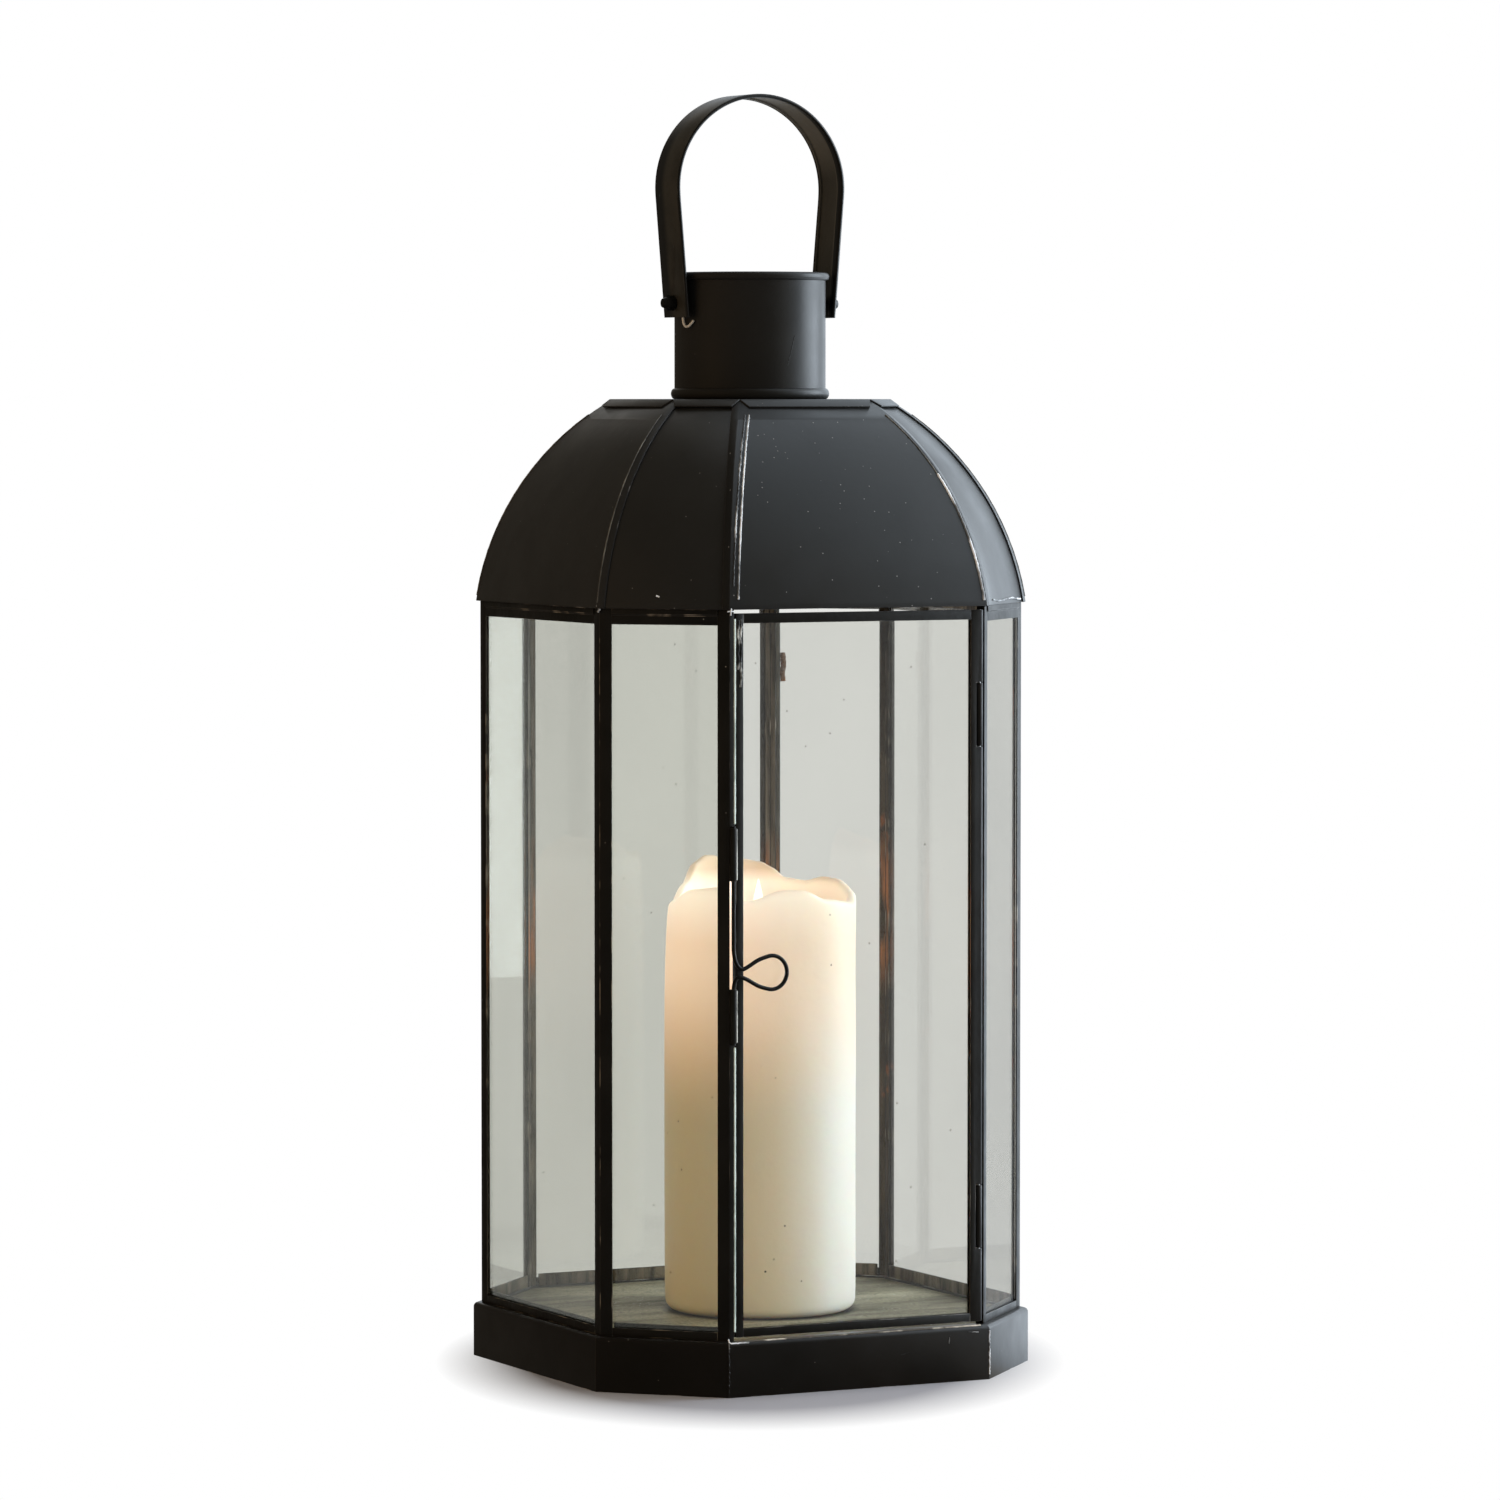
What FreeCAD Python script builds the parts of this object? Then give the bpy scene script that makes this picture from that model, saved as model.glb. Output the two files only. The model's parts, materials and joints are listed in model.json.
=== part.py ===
import FreeCAD, Part
import math
import os
from FreeCAD import Vector

# Driving dimensions in millimetres.
# The plan is an octagon with four wide faces, square to the axes, and four narrow ones between them.
# The origin is on the floor under the middle.
# The door is the wide face towards -Y, and it hinges at its +X edge.
SHEET = 0.7
GLASS = 2.0
GLASS_PLAY = 0.1

BASE_FLATS = 202.0
BASE_WIDE = 120.5
BASE_HEIGHT = 22.8
BASE_BEND = 2.0
BASE_HEM = 5.0
FLOOR_SINK = 1.5
FLOOR_MARGIN = 0.3

BODY_FLATS = 196.0
BODY_WIDE = 117.0
EAVE_Z = 320.3

POST_FLANGE = 5.2
POST_LIP = 4.0
POST_WEB = 2.1
JAMB_WEB = 3.2
JAMB_RETURN = 1.9
TOP_RAIL_HEIGHT = 6.4
TOP_RAIL_LIP = 4.4
TOP_RAIL_HEM = 2.2
TOP_RAIL_HEM_PROUD = 0.5
BOTTOM_RAIL_HEIGHT = 3.4
BOTTOM_RAIL_LIP = 5.3

ROOF_FLATS = 198.0
ROOF_WIDE = 118.0
ROOF_CENTRE_DROP = 17.0
ROOF_TOP_SHARE = 0.5
ROOF_LIP = 6.0
ROOF_LAP = 3.0
CAP_TAB = 5.0
CAP_TAB_CUT = 2.4

CHIMNEY_RADIUS = 31.75
CHIMNEY_HEIGHT = 53.0
CHIMNEY_RIM = 3.4
CHIMNEY_FOOT = 4.5
CHIMNEY_BEAD_PROUD = 1.5
CHIMNEY_BEAD_EASE = 1.2

HANDLE_WIDTH = 21.0
HANDLE_HEM = 2.4
HANDLE_HALF_SPAN = 35.0
HANDLE_BEND = 38.8
HANDLE_RISE = 87.0
HANDLE_TAIL = 6.0
HANDLE_PIVOT_Z = 445.3
BOLT_RADIUS = 1.5
BOLT_FIT = 0.06
NUT_FLATS = 5.5
NUT_HEIGHT = 2.4
CAP_NUT_HEIGHT = 3.4
CAP_NUT_DOME = 2.6
PIVOT_WIRE = 0.8
PIVOT_WIRE_SAG = 4.2
PIVOT_WIRE_REACH = 10.0

DOOR_LEFT = -55.5
DOOR_RIGHT = 55.2
DOOR_FOOT_GAP = 1.3
DOOR_HEAD_GAP = 1.6
DOOR_LATCH_STILE = 3.3
DOOR_HINGE_STILE = 2.5
DOOR_TOP_RAIL = 4.0
DOOR_BOTTOM_RAIL = 3.4
HINGE_ROLL = 1.6
HINGE_WIRE = 0.8
HINGE_FIT = 0.05
HINGE_GROOVE = 2.35
HINGE_INSET = 1.3
KNUCKLE_LENGTH = 26.0
KNUCKLE_FROM_MIDDLE = 104.0
KNUCKLE_END_GAP = 0.4

LATCH_WIRE = 0.75
LATCH_ROLL = 1.4
LATCH_BORE = 0.85
LATCH_INSET = 1.3
LATCH_PROUD = 0.9
LATCH_TOP = 231.8
LATCH_WINDOW_TOP = 210.3
LATCH_LOOP_Z = 174.3
LATCH_WINDOW_FOOT = 166.3
LATCH_FOOT = 144.3
LATCH_LEG_END = 0.8
LATCH_LOOP_RADIUS = 7.0
LATCH_LOOP_REACH = 23.9
LATCH_LOOP_STANDOFF = 1.0
LATCH_NECK_REACH = 2.6
LATCH_NECK_HALF = 1.3

CANDLE_CENTRE = Vector(1.5, -6.4, 0.0)
CANDLE_RADIUS = 40.0
CANDLE_HEIGHT = 190.2
CANDLE_FOOT_EASE = 3.5
HOLLOW_DEPTH = 32.0
HOLLOW_TILT = 12.0
WICK_RADIUS = 1.1
WICK_HEIGHT = 11.0
WICK_SET = 8.0

# Worked out from the driving dimensions.
SLOT = GLASS + 2 * GLASS_PLAY
FRAME_DEPTH = SLOT + 2 * SHEET
HALF_TURN = math.tan(math.radians(22.5))
FLOOR_Z = BASE_HEIGHT - FLOOR_SINK
FLOOR_TOP = FLOOR_Z + SHEET
FACES = ("front", "front_right", "right", "back_right", "back", "back_left", "left", "front_left")


# Shapes in general

def octagon(flats, wide, z=0.0):
    """Corners in order round the axis, starting at the -X end of the front face."""
    a, w = flats / 2, wide / 2
    plan = [(-w, -a), (w, -a), (a, -w), (a, w), (w, a), (-w, a), (-a, w), (-a, -w)]
    return [Vector(x, y, z) for x, y in plan]


def inset(flats, wide, by):
    """Across-flats and wide-face sizes of the octagon that lies a given distance inside."""
    return flats - 2 * by, wide - 2 * by * HALF_TURN


def flat_face(points):
    return Part.Face(Part.makePolygon(points + points[:1]))


def prism(points, height):
    return flat_face(points).extrude(Vector(0, 0, height))


def upright_cylinder(centre, radius, foot, top):
    return Part.makeCylinder(radius, top - foot, Vector(centre.x, centre.y, foot))


def arc_edge(start, middle, end):
    return Part.Arc(start, middle, end).toShape()


def line_edge(start, end):
    return Part.LineSegment(start, end).toShape()


def turned_to_face(shape, index):
    """A shape made for the front face, moved to another face of its own width."""
    copy = shape.copy()
    copy.rotate(Vector(0, 0, 0), Vector(0, 0, 1), 45.0 * index)
    return copy


def face_size(flats, wide, index):
    """Distance from the axis and width of one face of an octagon."""
    narrow = math.sqrt(2) * (flats - wide) / 2
    if index % 2:
        return narrow / 2 + wide / math.sqrt(2), narrow
    return flats / 2, wide


def bent_wire(points, bends, radius_of_wire):
    """A wire along straight runs, each corner bent to the radius given for it."""
    edges = []
    last = points[0]
    for before, corner, after, radius in zip(points, points[1:], points[2:], bends):
        inward = (before - corner).normalize()
        outward = (after - corner).normalize()
        half = inward.getAngle(outward) / 2
        reach = radius / math.tan(half)
        start = corner + inward * reach
        end = corner + outward * reach
        bisector = (inward + outward).normalize()
        middle = corner + bisector * (radius / math.sin(half) - radius)
        edges.append(line_edge(last, start))
        edges.append(arc_edge(start, middle, end))
        last = end
    edges.append(line_edge(last, points[-1]))
    section = wire_section(points[0], points[1] - points[0], radius_of_wire)
    return Part.Wire(edges).makePipeShell([section], True, False)


def wire_section(centre, direction, radius):
    """Six-sided outline across the start of a wire."""
    sides = 6
    across = direction.cross(Vector(1, 0, 0)).normalize() * radius
    turn = FreeCAD.Rotation(direction, 360.0 / sides)
    corners = [centre + across]
    for _ in range(sides - 1):
        across = turn.multVec(across)
        corners.append(centre + across)
    return Part.makePolygon(corners + corners[:1])


# Base

def base_tray():
    """Sheet tray turned upside down: a sunk top, a bent top edge, folded walls and a hem along the floor."""
    outside = prism(octagon(BASE_FLATS, BASE_WIDE), BASE_HEIGHT)
    outside = rounded_top(outside, BASE_HEIGHT, BASE_BEND).cut(floor_well(FLOOR_MARGIN, FLOOR_Z))
    hollow_top = BASE_HEIGHT - SHEET
    hollow = prism(octagon(*inset(BASE_FLATS, BASE_WIDE, SHEET), SHEET), hollow_top - SHEET)
    hollow = rounded_top(hollow, hollow_top, BASE_BEND - SHEET)
    hollow = hollow.cut(floor_well(FLOOR_MARGIN - SHEET, FLOOR_Z - SHEET))
    mouth = prism(octagon(*inset(BASE_FLATS, BASE_WIDE, BASE_HEM)), SHEET)
    return outside.cut(hollow).cut(mouth)


def floor_well(margin, foot):
    """Space over the sunk part of the tray, a margin inside the glazing."""
    return prism(octagon(*inset(BODY_FLATS, BODY_WIDE, FRAME_DEPTH + margin), foot), BASE_HEIGHT - foot)


def rounded_top(block, top, radius):
    edges = [e for e in block.Edges if all(abs(v.Z - top) < 1e-6 for v in e.Vertexes)]
    return block.makeFillet(radius, edges)


def floor_plate():
    """Bare sheet that lies in the sunk part of the tray."""
    gap = 0.5
    return prism(octagon(*inset(BODY_FLATS, BODY_WIDE, FRAME_DEPTH + FLOOR_MARGIN + gap), FLOOR_Z), SHEET)


# Corner posts

def corner_legs(corner):
    """Two functions that place (distance along, depth below) on the faces before and after a corner."""
    ring = octagon(BODY_FLATS, BODY_WIDE)
    here = ring[corner]
    before = ring[corner - 1]
    after = ring[(corner + 1) % 8]

    def leg(towards, travel):
        along = (towards - here).normalize()
        deep = Vector(-travel.y, travel.x, 0).normalize()
        return lambda s, d: here + along * s + deep * d

    return leg(before, here - before), leg(after, after - here)


def channel_points(leg, web):
    """One side of a post, from its outer flange round the glass slot to its inner lip."""
    inner = SHEET + SLOT
    steps = [
        (POST_FLANGE, 0), (POST_FLANGE, SHEET), (web, SHEET), (web, inner),
        (POST_LIP, inner), (POST_LIP, FRAME_DEPTH),
    ]
    return [leg(s, d) for s, d in steps]


def glazed_post(corner):
    """Post with a glass slot on both sides, folded from one strip."""
    before, after = corner_legs(corner)
    outline = [after(0, 0)] + channel_points(after, POST_WEB)
    outline.append(after(FRAME_DEPTH * HALF_TURN, FRAME_DEPTH))
    outline += reversed(channel_points(before, POST_WEB))
    return raised(outline, BASE_HEIGHT, EAVE_Z)


def raised(outline, foot, top):
    return prism([Vector(p.x, p.y, foot) for p in outline], top - foot)


def jamb_outline(leg):
    """Half a post, for the side of the doorway: a glass slot on the narrow face only."""
    return [leg(0, 0)] + channel_points(leg, JAMB_WEB) + [leg(FRAME_DEPTH * HALF_TURN, FRAME_DEPTH)]


def latch_axis():
    _, door = corner_legs(0)
    return door(LATCH_INSET, -LATCH_PROUD)


def hinge_axis():
    door, _ = corner_legs(1)
    return door(HINGE_INSET, HINGE_ROLL)


def latch_post():
    """Doorway post with a strip turned towards the door, left out between two tubes for the latch wire."""
    narrow, door = corner_legs(0)
    axis = latch_axis()
    post = raised(jamb_outline(narrow), BASE_HEIGHT, EAVE_Z)
    strip = [door(0, 0), door(JAMB_RETURN, 0), door(JAMB_RETURN, SHEET), door(SHEET * HALF_TURN, SHEET)]
    for foot, top in ((BASE_HEIGHT, LATCH_WINDOW_FOOT), (LATCH_WINDOW_TOP, EAVE_Z)):
        post = post.fuse(raised(strip, foot, top))
    for foot, top in ((LATCH_FOOT, LATCH_WINDOW_FOOT), (LATCH_WINDOW_TOP, LATCH_TOP)):
        post = post.fuse(upright_cylinder(axis, LATCH_ROLL, foot, top))
        post = post.cut(upright_cylinder(axis, LATCH_BORE, foot, top))
    return post.removeSplitter()


def knuckle_spans():
    middle = (BASE_HEIGHT + EAVE_Z) / 2
    spans = []
    for centre in (middle - KNUCKLE_FROM_MIDDLE, middle + KNUCKLE_FROM_MIDDLE):
        spans.append((centre - KNUCKLE_LENGTH / 2, centre + KNUCKLE_LENGTH / 2))
    return spans


def hinge_post():
    """Doorway post hollowed for the rolled edge of the door, with two knuckles that carry the hinge wire."""
    _, narrow = corner_legs(1)
    axis = hinge_axis()
    post = raised(jamb_outline(narrow), BASE_HEIGHT, EAVE_Z)
    post = post.cut(upright_cylinder(axis, HINGE_GROOVE, BASE_HEIGHT, EAVE_Z))
    along = (narrow(1, 0) - narrow(0, 0)) * (HINGE_GROOVE + SHEET)
    aside = (narrow(0, 1) - narrow(0, 0)) * (SHEET / 2)
    leaf = [axis - aside, axis - aside + along, axis + aside + along, axis + aside]
    for foot, top in knuckle_spans():
        post = post.fuse(raised(leaf, foot, top))
        post = post.fuse(upright_cylinder(axis, HINGE_ROLL, foot, top))
    post = post.cut(upright_cylinder(axis, HINGE_WIRE + HINGE_FIT, BASE_HEIGHT, EAVE_Z))
    return post.removeSplitter()


# Fixed glazing

def face_bar(index, section, margin):
    """A bar along one face, between its posts; the section is a list of (depth below the face, height)."""
    distance, width = face_size(BODY_FLATS, BODY_WIDE, index)
    half = width / 2 - margin
    points = [Vector(-half, d - distance, z) for d, z in section]
    return turned_to_face(flat_face(points).extrude(Vector(2 * half, 0, 0)), index)


def top_rail(index):
    """Channel over the top edge of a pane, with a hem that stands proud under the eave."""
    proud = -TOP_RAIL_HEM_PROUD
    section = [
        (proud, EAVE_Z), (proud, EAVE_Z - TOP_RAIL_HEM), (0, EAVE_Z - TOP_RAIL_HEM - TOP_RAIL_HEM_PROUD),
        (0, EAVE_Z - TOP_RAIL_HEIGHT), (SHEET, EAVE_Z - TOP_RAIL_HEIGHT), (SHEET, EAVE_Z - SHEET),
        (SHEET + SLOT, EAVE_Z - SHEET), (SHEET + SLOT, EAVE_Z - TOP_RAIL_LIP),
        (FRAME_DEPTH, EAVE_Z - TOP_RAIL_LIP), (FRAME_DEPTH, EAVE_Z),
    ]
    return face_bar(index, section, POST_FLANGE)


def bottom_rail(index):
    """Channel under the bottom edge of a pane."""
    z = BASE_HEIGHT
    section = [
        (0, z), (0, z + BOTTOM_RAIL_HEIGHT), (SHEET, z + BOTTOM_RAIL_HEIGHT), (SHEET, z + SHEET),
        (SHEET + SLOT, z + SHEET), (SHEET + SLOT, z + BOTTOM_RAIL_LIP),
        (FRAME_DEPTH, z + BOTTOM_RAIL_LIP), (FRAME_DEPTH, z),
    ]
    return face_bar(index, section, POST_FLANGE)


def pane(index):
    """Glass held in the slots of the posts and rails around it."""
    end_play = 0.3
    front, back = SHEET + GLASS_PLAY, SHEET + GLASS_PLAY + GLASS
    foot, top = BASE_HEIGHT + SHEET + end_play, EAVE_Z - SHEET - end_play
    section = [(front, foot), (back, foot), (back, top), (front, top)]
    beside_door = FACES[index] in ("front_left", "front_right")
    web = JAMB_WEB if beside_door else POST_WEB
    return face_bar(index, section, web + end_play)


# Door

def door_depth(d):
    return d - BODY_FLATS / 2


DOOR_FOOT = BASE_HEIGHT + DOOR_FOOT_GAP
DOOR_HEAD = EAVE_Z - DOOR_HEAD_GAP


def door_channel(along, across):
    """Outline of a folded channel, as (distance in from its outer edge, depth below the face)."""
    inner = SHEET + SLOT
    return [
        (0, 0), (along, 0), (along, SHEET), (across, SHEET), (across, inner),
        (along, inner), (along, FRAME_DEPTH), (0, FRAME_DEPTH),
    ]


def door_stile(edge, inward, width):
    outline = [
        Vector(edge + inward * s, door_depth(d), DOOR_FOOT) for s, d in door_channel(width, SHEET)
    ]
    return prism(outline, DOOR_HEAD - DOOR_FOOT)


def door_latch_stile():
    return door_stile(DOOR_LEFT, 1, DOOR_LATCH_STILE)


def door_hinge_stile():
    """Stile whose front sheet rolls round the hinge wire, cut away at the knuckles of the post."""
    axis = hinge_axis()
    stile = door_stile(DOOR_RIGHT, -1, DOOR_HINGE_STILE)
    lower, upper = knuckle_spans()
    gap = KNUCKLE_END_GAP
    spans = [(DOOR_FOOT, lower[0] - gap), (lower[1] + gap, upper[0] - gap), (upper[1] + gap, DOOR_HEAD)]
    for foot, top in spans:
        roll = upright_cylinder(axis, HINGE_ROLL, foot, top)
        overlap = SHEET / 2
        neck = Part.makeBox(
            axis.x - DOOR_RIGHT + overlap, SHEET, top - foot,
            Vector(DOOR_RIGHT - overlap, door_depth(0), foot),
        )
        stile = stile.fuse(roll.fuse(neck))
    stile = stile.cut(upright_cylinder(axis, HINGE_WIRE + HINGE_FIT, DOOR_FOOT, DOOR_HEAD))
    return stile.removeSplitter()


def door_rail(edge, inward, height):
    """Channel between the stiles, from an outer edge at one height."""
    start, end = DOOR_LEFT + DOOR_LATCH_STILE, DOOR_RIGHT - DOOR_HINGE_STILE
    outline = [
        Vector(start, door_depth(d), edge + inward * s) for s, d in door_channel(height, SHEET)
    ]
    return flat_face(outline).extrude(Vector(end - start, 0, 0))


def door_glass():
    margin = SHEET + 0.3
    width = DOOR_RIGHT - DOOR_LEFT - 2 * margin
    height = DOOR_HEAD - DOOR_FOOT - 2 * margin
    corner = Vector(DOOR_LEFT + margin, door_depth(SHEET + GLASS_PLAY), DOOR_FOOT + margin)
    return Part.makeBox(width, GLASS, height, corner)


def hinge_wire():
    return upright_cylinder(hinge_axis(), HINGE_WIRE, DOOR_FOOT, DOOR_HEAD)


def latch_wire():
    """One wire: an upper leg, a teardrop loop that stands in front of the door, and a lower leg."""
    axis = latch_axis()
    stand = LATCH_LOOP_STANDOFF

    def at(reach, outward, z):
        return Vector(axis.x + reach, axis.y - outward, z)

    z = LATCH_LOOP_Z
    centre = LATCH_LOOP_REACH - LATCH_LOOP_RADIUS
    neck = LATCH_NECK_REACH
    # The straight sides leave the neck and touch the round end of the loop.
    run = math.hypot(centre - neck, LATCH_NECK_HALF)
    slope = math.asin(LATCH_LOOP_RADIUS / run) - math.asin(LATCH_NECK_HALF / run)
    corner = LATCH_NECK_HALF + (LATCH_LOOP_REACH - neck) * math.tan(slope)
    lead_in = 4.0
    points = [
        at(0, 0, LATCH_TOP + LATCH_LEG_END),
        at(0, 0, z + LATCH_NECK_HALF + lead_in),
        at(neck, stand, z + LATCH_NECK_HALF),
        at(LATCH_LOOP_REACH, stand, z + corner),
        at(LATCH_LOOP_REACH, stand, z - corner),
        at(neck, stand, z - LATCH_NECK_HALF),
        at(0, 0, z - LATCH_NECK_HALF - lead_in),
        at(0, 0, LATCH_FOOT - LATCH_LEG_END),
    ]
    # A shade under the full radius, so that a short straight is left at the end of the loop.
    round_end = LATCH_LOOP_RADIUS * 0.98
    tight = 1.6
    return bent_wire(points, [tight, tight, round_end, round_end, tight, tight], LATCH_WIRE)


# Roof

ROOF_CORNER = math.hypot(ROOF_FLATS / 2, ROOF_WIDE / 2)
ROOF_CENTRE_Z = EAVE_Z - ROOF_CENTRE_DROP
ROOF_RADIUS = math.hypot(ROOF_CORNER, ROOF_CENTRE_DROP)
ROOF_TOP_Z = ROOF_CENTRE_Z + math.sqrt(ROOF_RADIUS ** 2 - (ROOF_TOP_SHARE * ROOF_CORNER) ** 2)


def roof_share(index):
    """How far a face lies from the axis, as a share of the distance of a corner."""
    return face_size(ROOF_FLATS, ROOF_WIDE, index)[0] / ROOF_CORNER


def roof_arc(share, radius):
    """Quarter-ellipse edge of a panel's profile, from the eave up to the cap."""
    centre = Vector(0, 0, ROOF_CENTRE_Z)
    crown = centre + Vector(0, 0, radius)
    side = centre + Vector(0, -radius * share, 0)
    ellipse = Part.Ellipse(crown, side, centre)
    angles = [math.acos((z - ROOF_CENTRE_Z) / radius) for z in (ROOF_TOP_Z, EAVE_Z)]
    return Part.ArcOfEllipse(ellipse, *angles).toShape()


def roof_sheet(index, low, high, wide_by):
    """Curved sheet between two distances from the roof's corner arc, long enough to cover a whole face."""
    share = roof_share(index)
    inner, outer = roof_arc(share, ROOF_RADIUS + low), roof_arc(share, ROOF_RADIUS + high)
    ends = [sorted(edge.Vertexes, key=lambda v: v.Z) for edge in (inner, outer)]
    foot = line_edge(ends[0][0].Point, ends[1][0].Point)
    top = line_edge(ends[0][1].Point, ends[1][1].Point)
    profile = Part.Face(Part.Wire(Part.__sortEdges__([inner, top, outer, foot])))
    profile.translate(Vector(-wide_by, 0, 0))
    return profile.extrude(Vector(2 * wide_by, 0, 0))


def sector(index):
    """Everything between the two upright planes that run from the axis through a face's corners."""
    distance, width = face_size(ROOF_FLATS, ROOF_WIDE, index)
    reach = 2.0
    half = width / 2 * reach
    plan = [Vector(0, 0, 0), Vector(-half, -distance * reach, 0), Vector(half, -distance * reach, 0)]
    return prism(plan, ROOF_TOP_Z + CAP_TAB)


def roof_lip(index, outward):
    """Flange folded in along the eave, which stands on the posts and rails."""
    distance, width = face_size(ROOF_FLATS, ROOF_WIDE, index)
    reach = width + 2 * ROOF_LIP
    corner = Vector(-reach / 2, -distance - outward, EAVE_Z)
    return Part.makeBox(reach, ROOF_LIP + outward, SHEET, corner).common(sector(index))


def narrow_roof_panel(index):
    """Curved sheet under the laps of the panels beside it."""
    sheet = roof_sheet(index, -SHEET, 0, ROOF_WIDE).common(sector(index))
    return turned_to_face(sheet.fuse(roof_lip(index, -SHEET / 2)).removeSplitter(), index)


def roof_lap(index, side):
    """Strip along one seam that lies on the narrow panel next to a wide one."""
    distance, width = face_size(ROOF_FLATS, ROOF_WIDE, index)
    seam = Vector(side * width / 2, -distance, 0).normalize()
    across = Vector(side * seam.y, -side * seam.x, 0)
    far = seam * (2 * ROOF_CORNER)
    plan = [Vector(0, 0, 0), far, far + across * ROOF_LAP, across * ROOF_LAP]
    return roof_sheet(index, 0, SHEET, ROOF_WIDE).common(prism(plan, ROOF_TOP_Z + CAP_TAB))


def wide_roof_panel(index):
    """Curved sheet with an edge on each side folded flat onto the narrow panel there."""
    sheet = roof_sheet(index, 0, SHEET, ROOF_WIDE).common(sector(index))
    panel = turned_to_face(sheet.fuse(roof_lip(index, SHEET / 2)), index)
    panel = panel.fuse(turned_to_face(roof_lap(index + 1, -1), index + 1))
    panel = panel.fuse(turned_to_face(roof_lap(index - 1, 1), index - 1))
    return panel.removeSplitter()


def roof_cap():
    """Flat plate on the open top of the roof: a folded tab over each panel, notched at the seams."""
    level = ROOF_TOP_Z - ROOF_CENTRE_Z
    corner = math.sqrt((ROOF_RADIUS + SHEET) ** 2 - level ** 2)
    share = corner / ROOF_CORNER
    cap = prism(octagon(ROOF_FLATS * share, ROOF_WIDE * share, ROOF_TOP_Z), SHEET)
    for index in range(8):
        distance, width = face_size(ROOF_FLATS * share, ROOF_WIDE * share, index)
        slope = math.atan2(distance * roof_share(index) ** -2, level)
        cap = cap.fuse(turned_to_face(cap_tab(distance, width, slope), index))
    cap = cap.cut(upright_cylinder(Vector(), CHIMNEY_RADIUS - SHEET, ROOF_TOP_Z, ROOF_TOP_Z + SHEET))
    return cap.removeSplitter()


def cap_tab(distance, width, slope):
    """Tab that leaves the plate's edge at the slope of the roof, its ends cut back from the corners."""
    root = 1.5
    out, down = math.cos(slope) * CAP_TAB, math.sin(slope) * CAP_TAB
    lift = Vector(0, -math.sin(slope), math.cos(slope)) * SHEET
    edge = Vector(-width / 2, -distance, ROOF_TOP_Z)
    tip = edge + Vector(0, -out, -down)
    fold = edge + Vector(0, -SHEET * math.tan(slope / 2), SHEET)
    section = [edge + Vector(0, root, 0), edge, tip, tip + lift, fold, edge + Vector(0, root, SHEET)]
    bar = flat_face(section).extrude(Vector(width, 0, 0))
    far = distance + CAP_TAB
    plan = [
        Vector(-width / 2, root - distance, 0), Vector(-width / 2, -distance, 0),
        Vector(CAP_TAB_CUT - width / 2, -far, 0), Vector(width / 2 - CAP_TAB_CUT, -far, 0),
        Vector(width / 2, -distance, 0), Vector(width / 2, root - distance, 0),
    ]
    return bar.common(prism(plan, ROOF_TOP_Z + CAP_TAB))


# Chimney

CHIMNEY_FOOT_Z = ROOF_TOP_Z + SHEET
CHIMNEY_TOP_Z = CHIMNEY_FOOT_Z + CHIMNEY_HEIGHT


def chimney():
    """Rolled tube with a thick band round its foot and its rim, drilled for the two bolts."""
    inner, outer = CHIMNEY_RADIUS - SHEET, CHIMNEY_RADIUS
    proud = outer + CHIMNEY_BEAD_PROUD
    foot, top = CHIMNEY_FOOT_Z, CHIMNEY_TOP_Z
    foot_end, rim_start = foot + CHIMNEY_FOOT, top - CHIMNEY_RIM

    profile = [
        (inner, foot), (proud, foot), (proud, foot_end - CHIMNEY_BEAD_EASE), (outer, foot_end),
        (outer, rim_start), (proud, rim_start + CHIMNEY_BEAD_EASE), (proud, top), (inner, top),
    ]
    tube = flat_face([Vector(r, 0, z) for r, z in profile]).revolve(Vector(), Vector(0, 0, 1), 360)
    hole = Part.makeCylinder(BOLT_RADIUS, 2 * outer, Vector(-outer, 0, HANDLE_PIVOT_Z), Vector(1, 0, 0))
    return tube.cut(hole)


# Handle

def strap_band(near, far):
    """Face of the strap's side view between two offsets from its middle line, positive outwards."""
    rise = HANDLE_RISE - HANDLE_BEND
    pivot = Vector(HANDLE_HALF_SPAN, 0, 0)
    to_centre = Vector(0, 0, rise) - pivot
    steep = math.atan2(to_centre.z, to_centre.x) - math.asin(HANDLE_BEND / to_centre.Length)
    down = Vector(-math.cos(steep), 0, -math.sin(steep))
    out = Vector(math.sin(steep), 0, -math.cos(steep))
    tangent = Vector(0, 0, rise) + out * HANDLE_BEND
    end = pivot + down * HANDLE_TAIL

    def mirrored(p):
        return Vector(-p.x, p.y, p.z)

    def side(offset):
        top = Vector(0, 0, rise + HANDLE_BEND + offset)
        start, bend = end + out * offset, tangent + out * offset
        return [
            line_edge(start, bend),
            arc_edge(bend, top, mirrored(bend)),
            line_edge(mirrored(bend), mirrored(start)),
        ], start

    inner, inner_start = side(near)
    outer, outer_start = side(far)
    ends = [
        line_edge(inner_start, outer_start),
        line_edge(mirrored(inner_start), mirrored(outer_start)),
    ]
    face = Part.Face(Part.Wire(Part.__sortEdges__(inner + outer + ends)))
    face.translate(Vector(0, -HANDLE_WIDTH / 2, HANDLE_PIVOT_Z))
    return face


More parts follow.
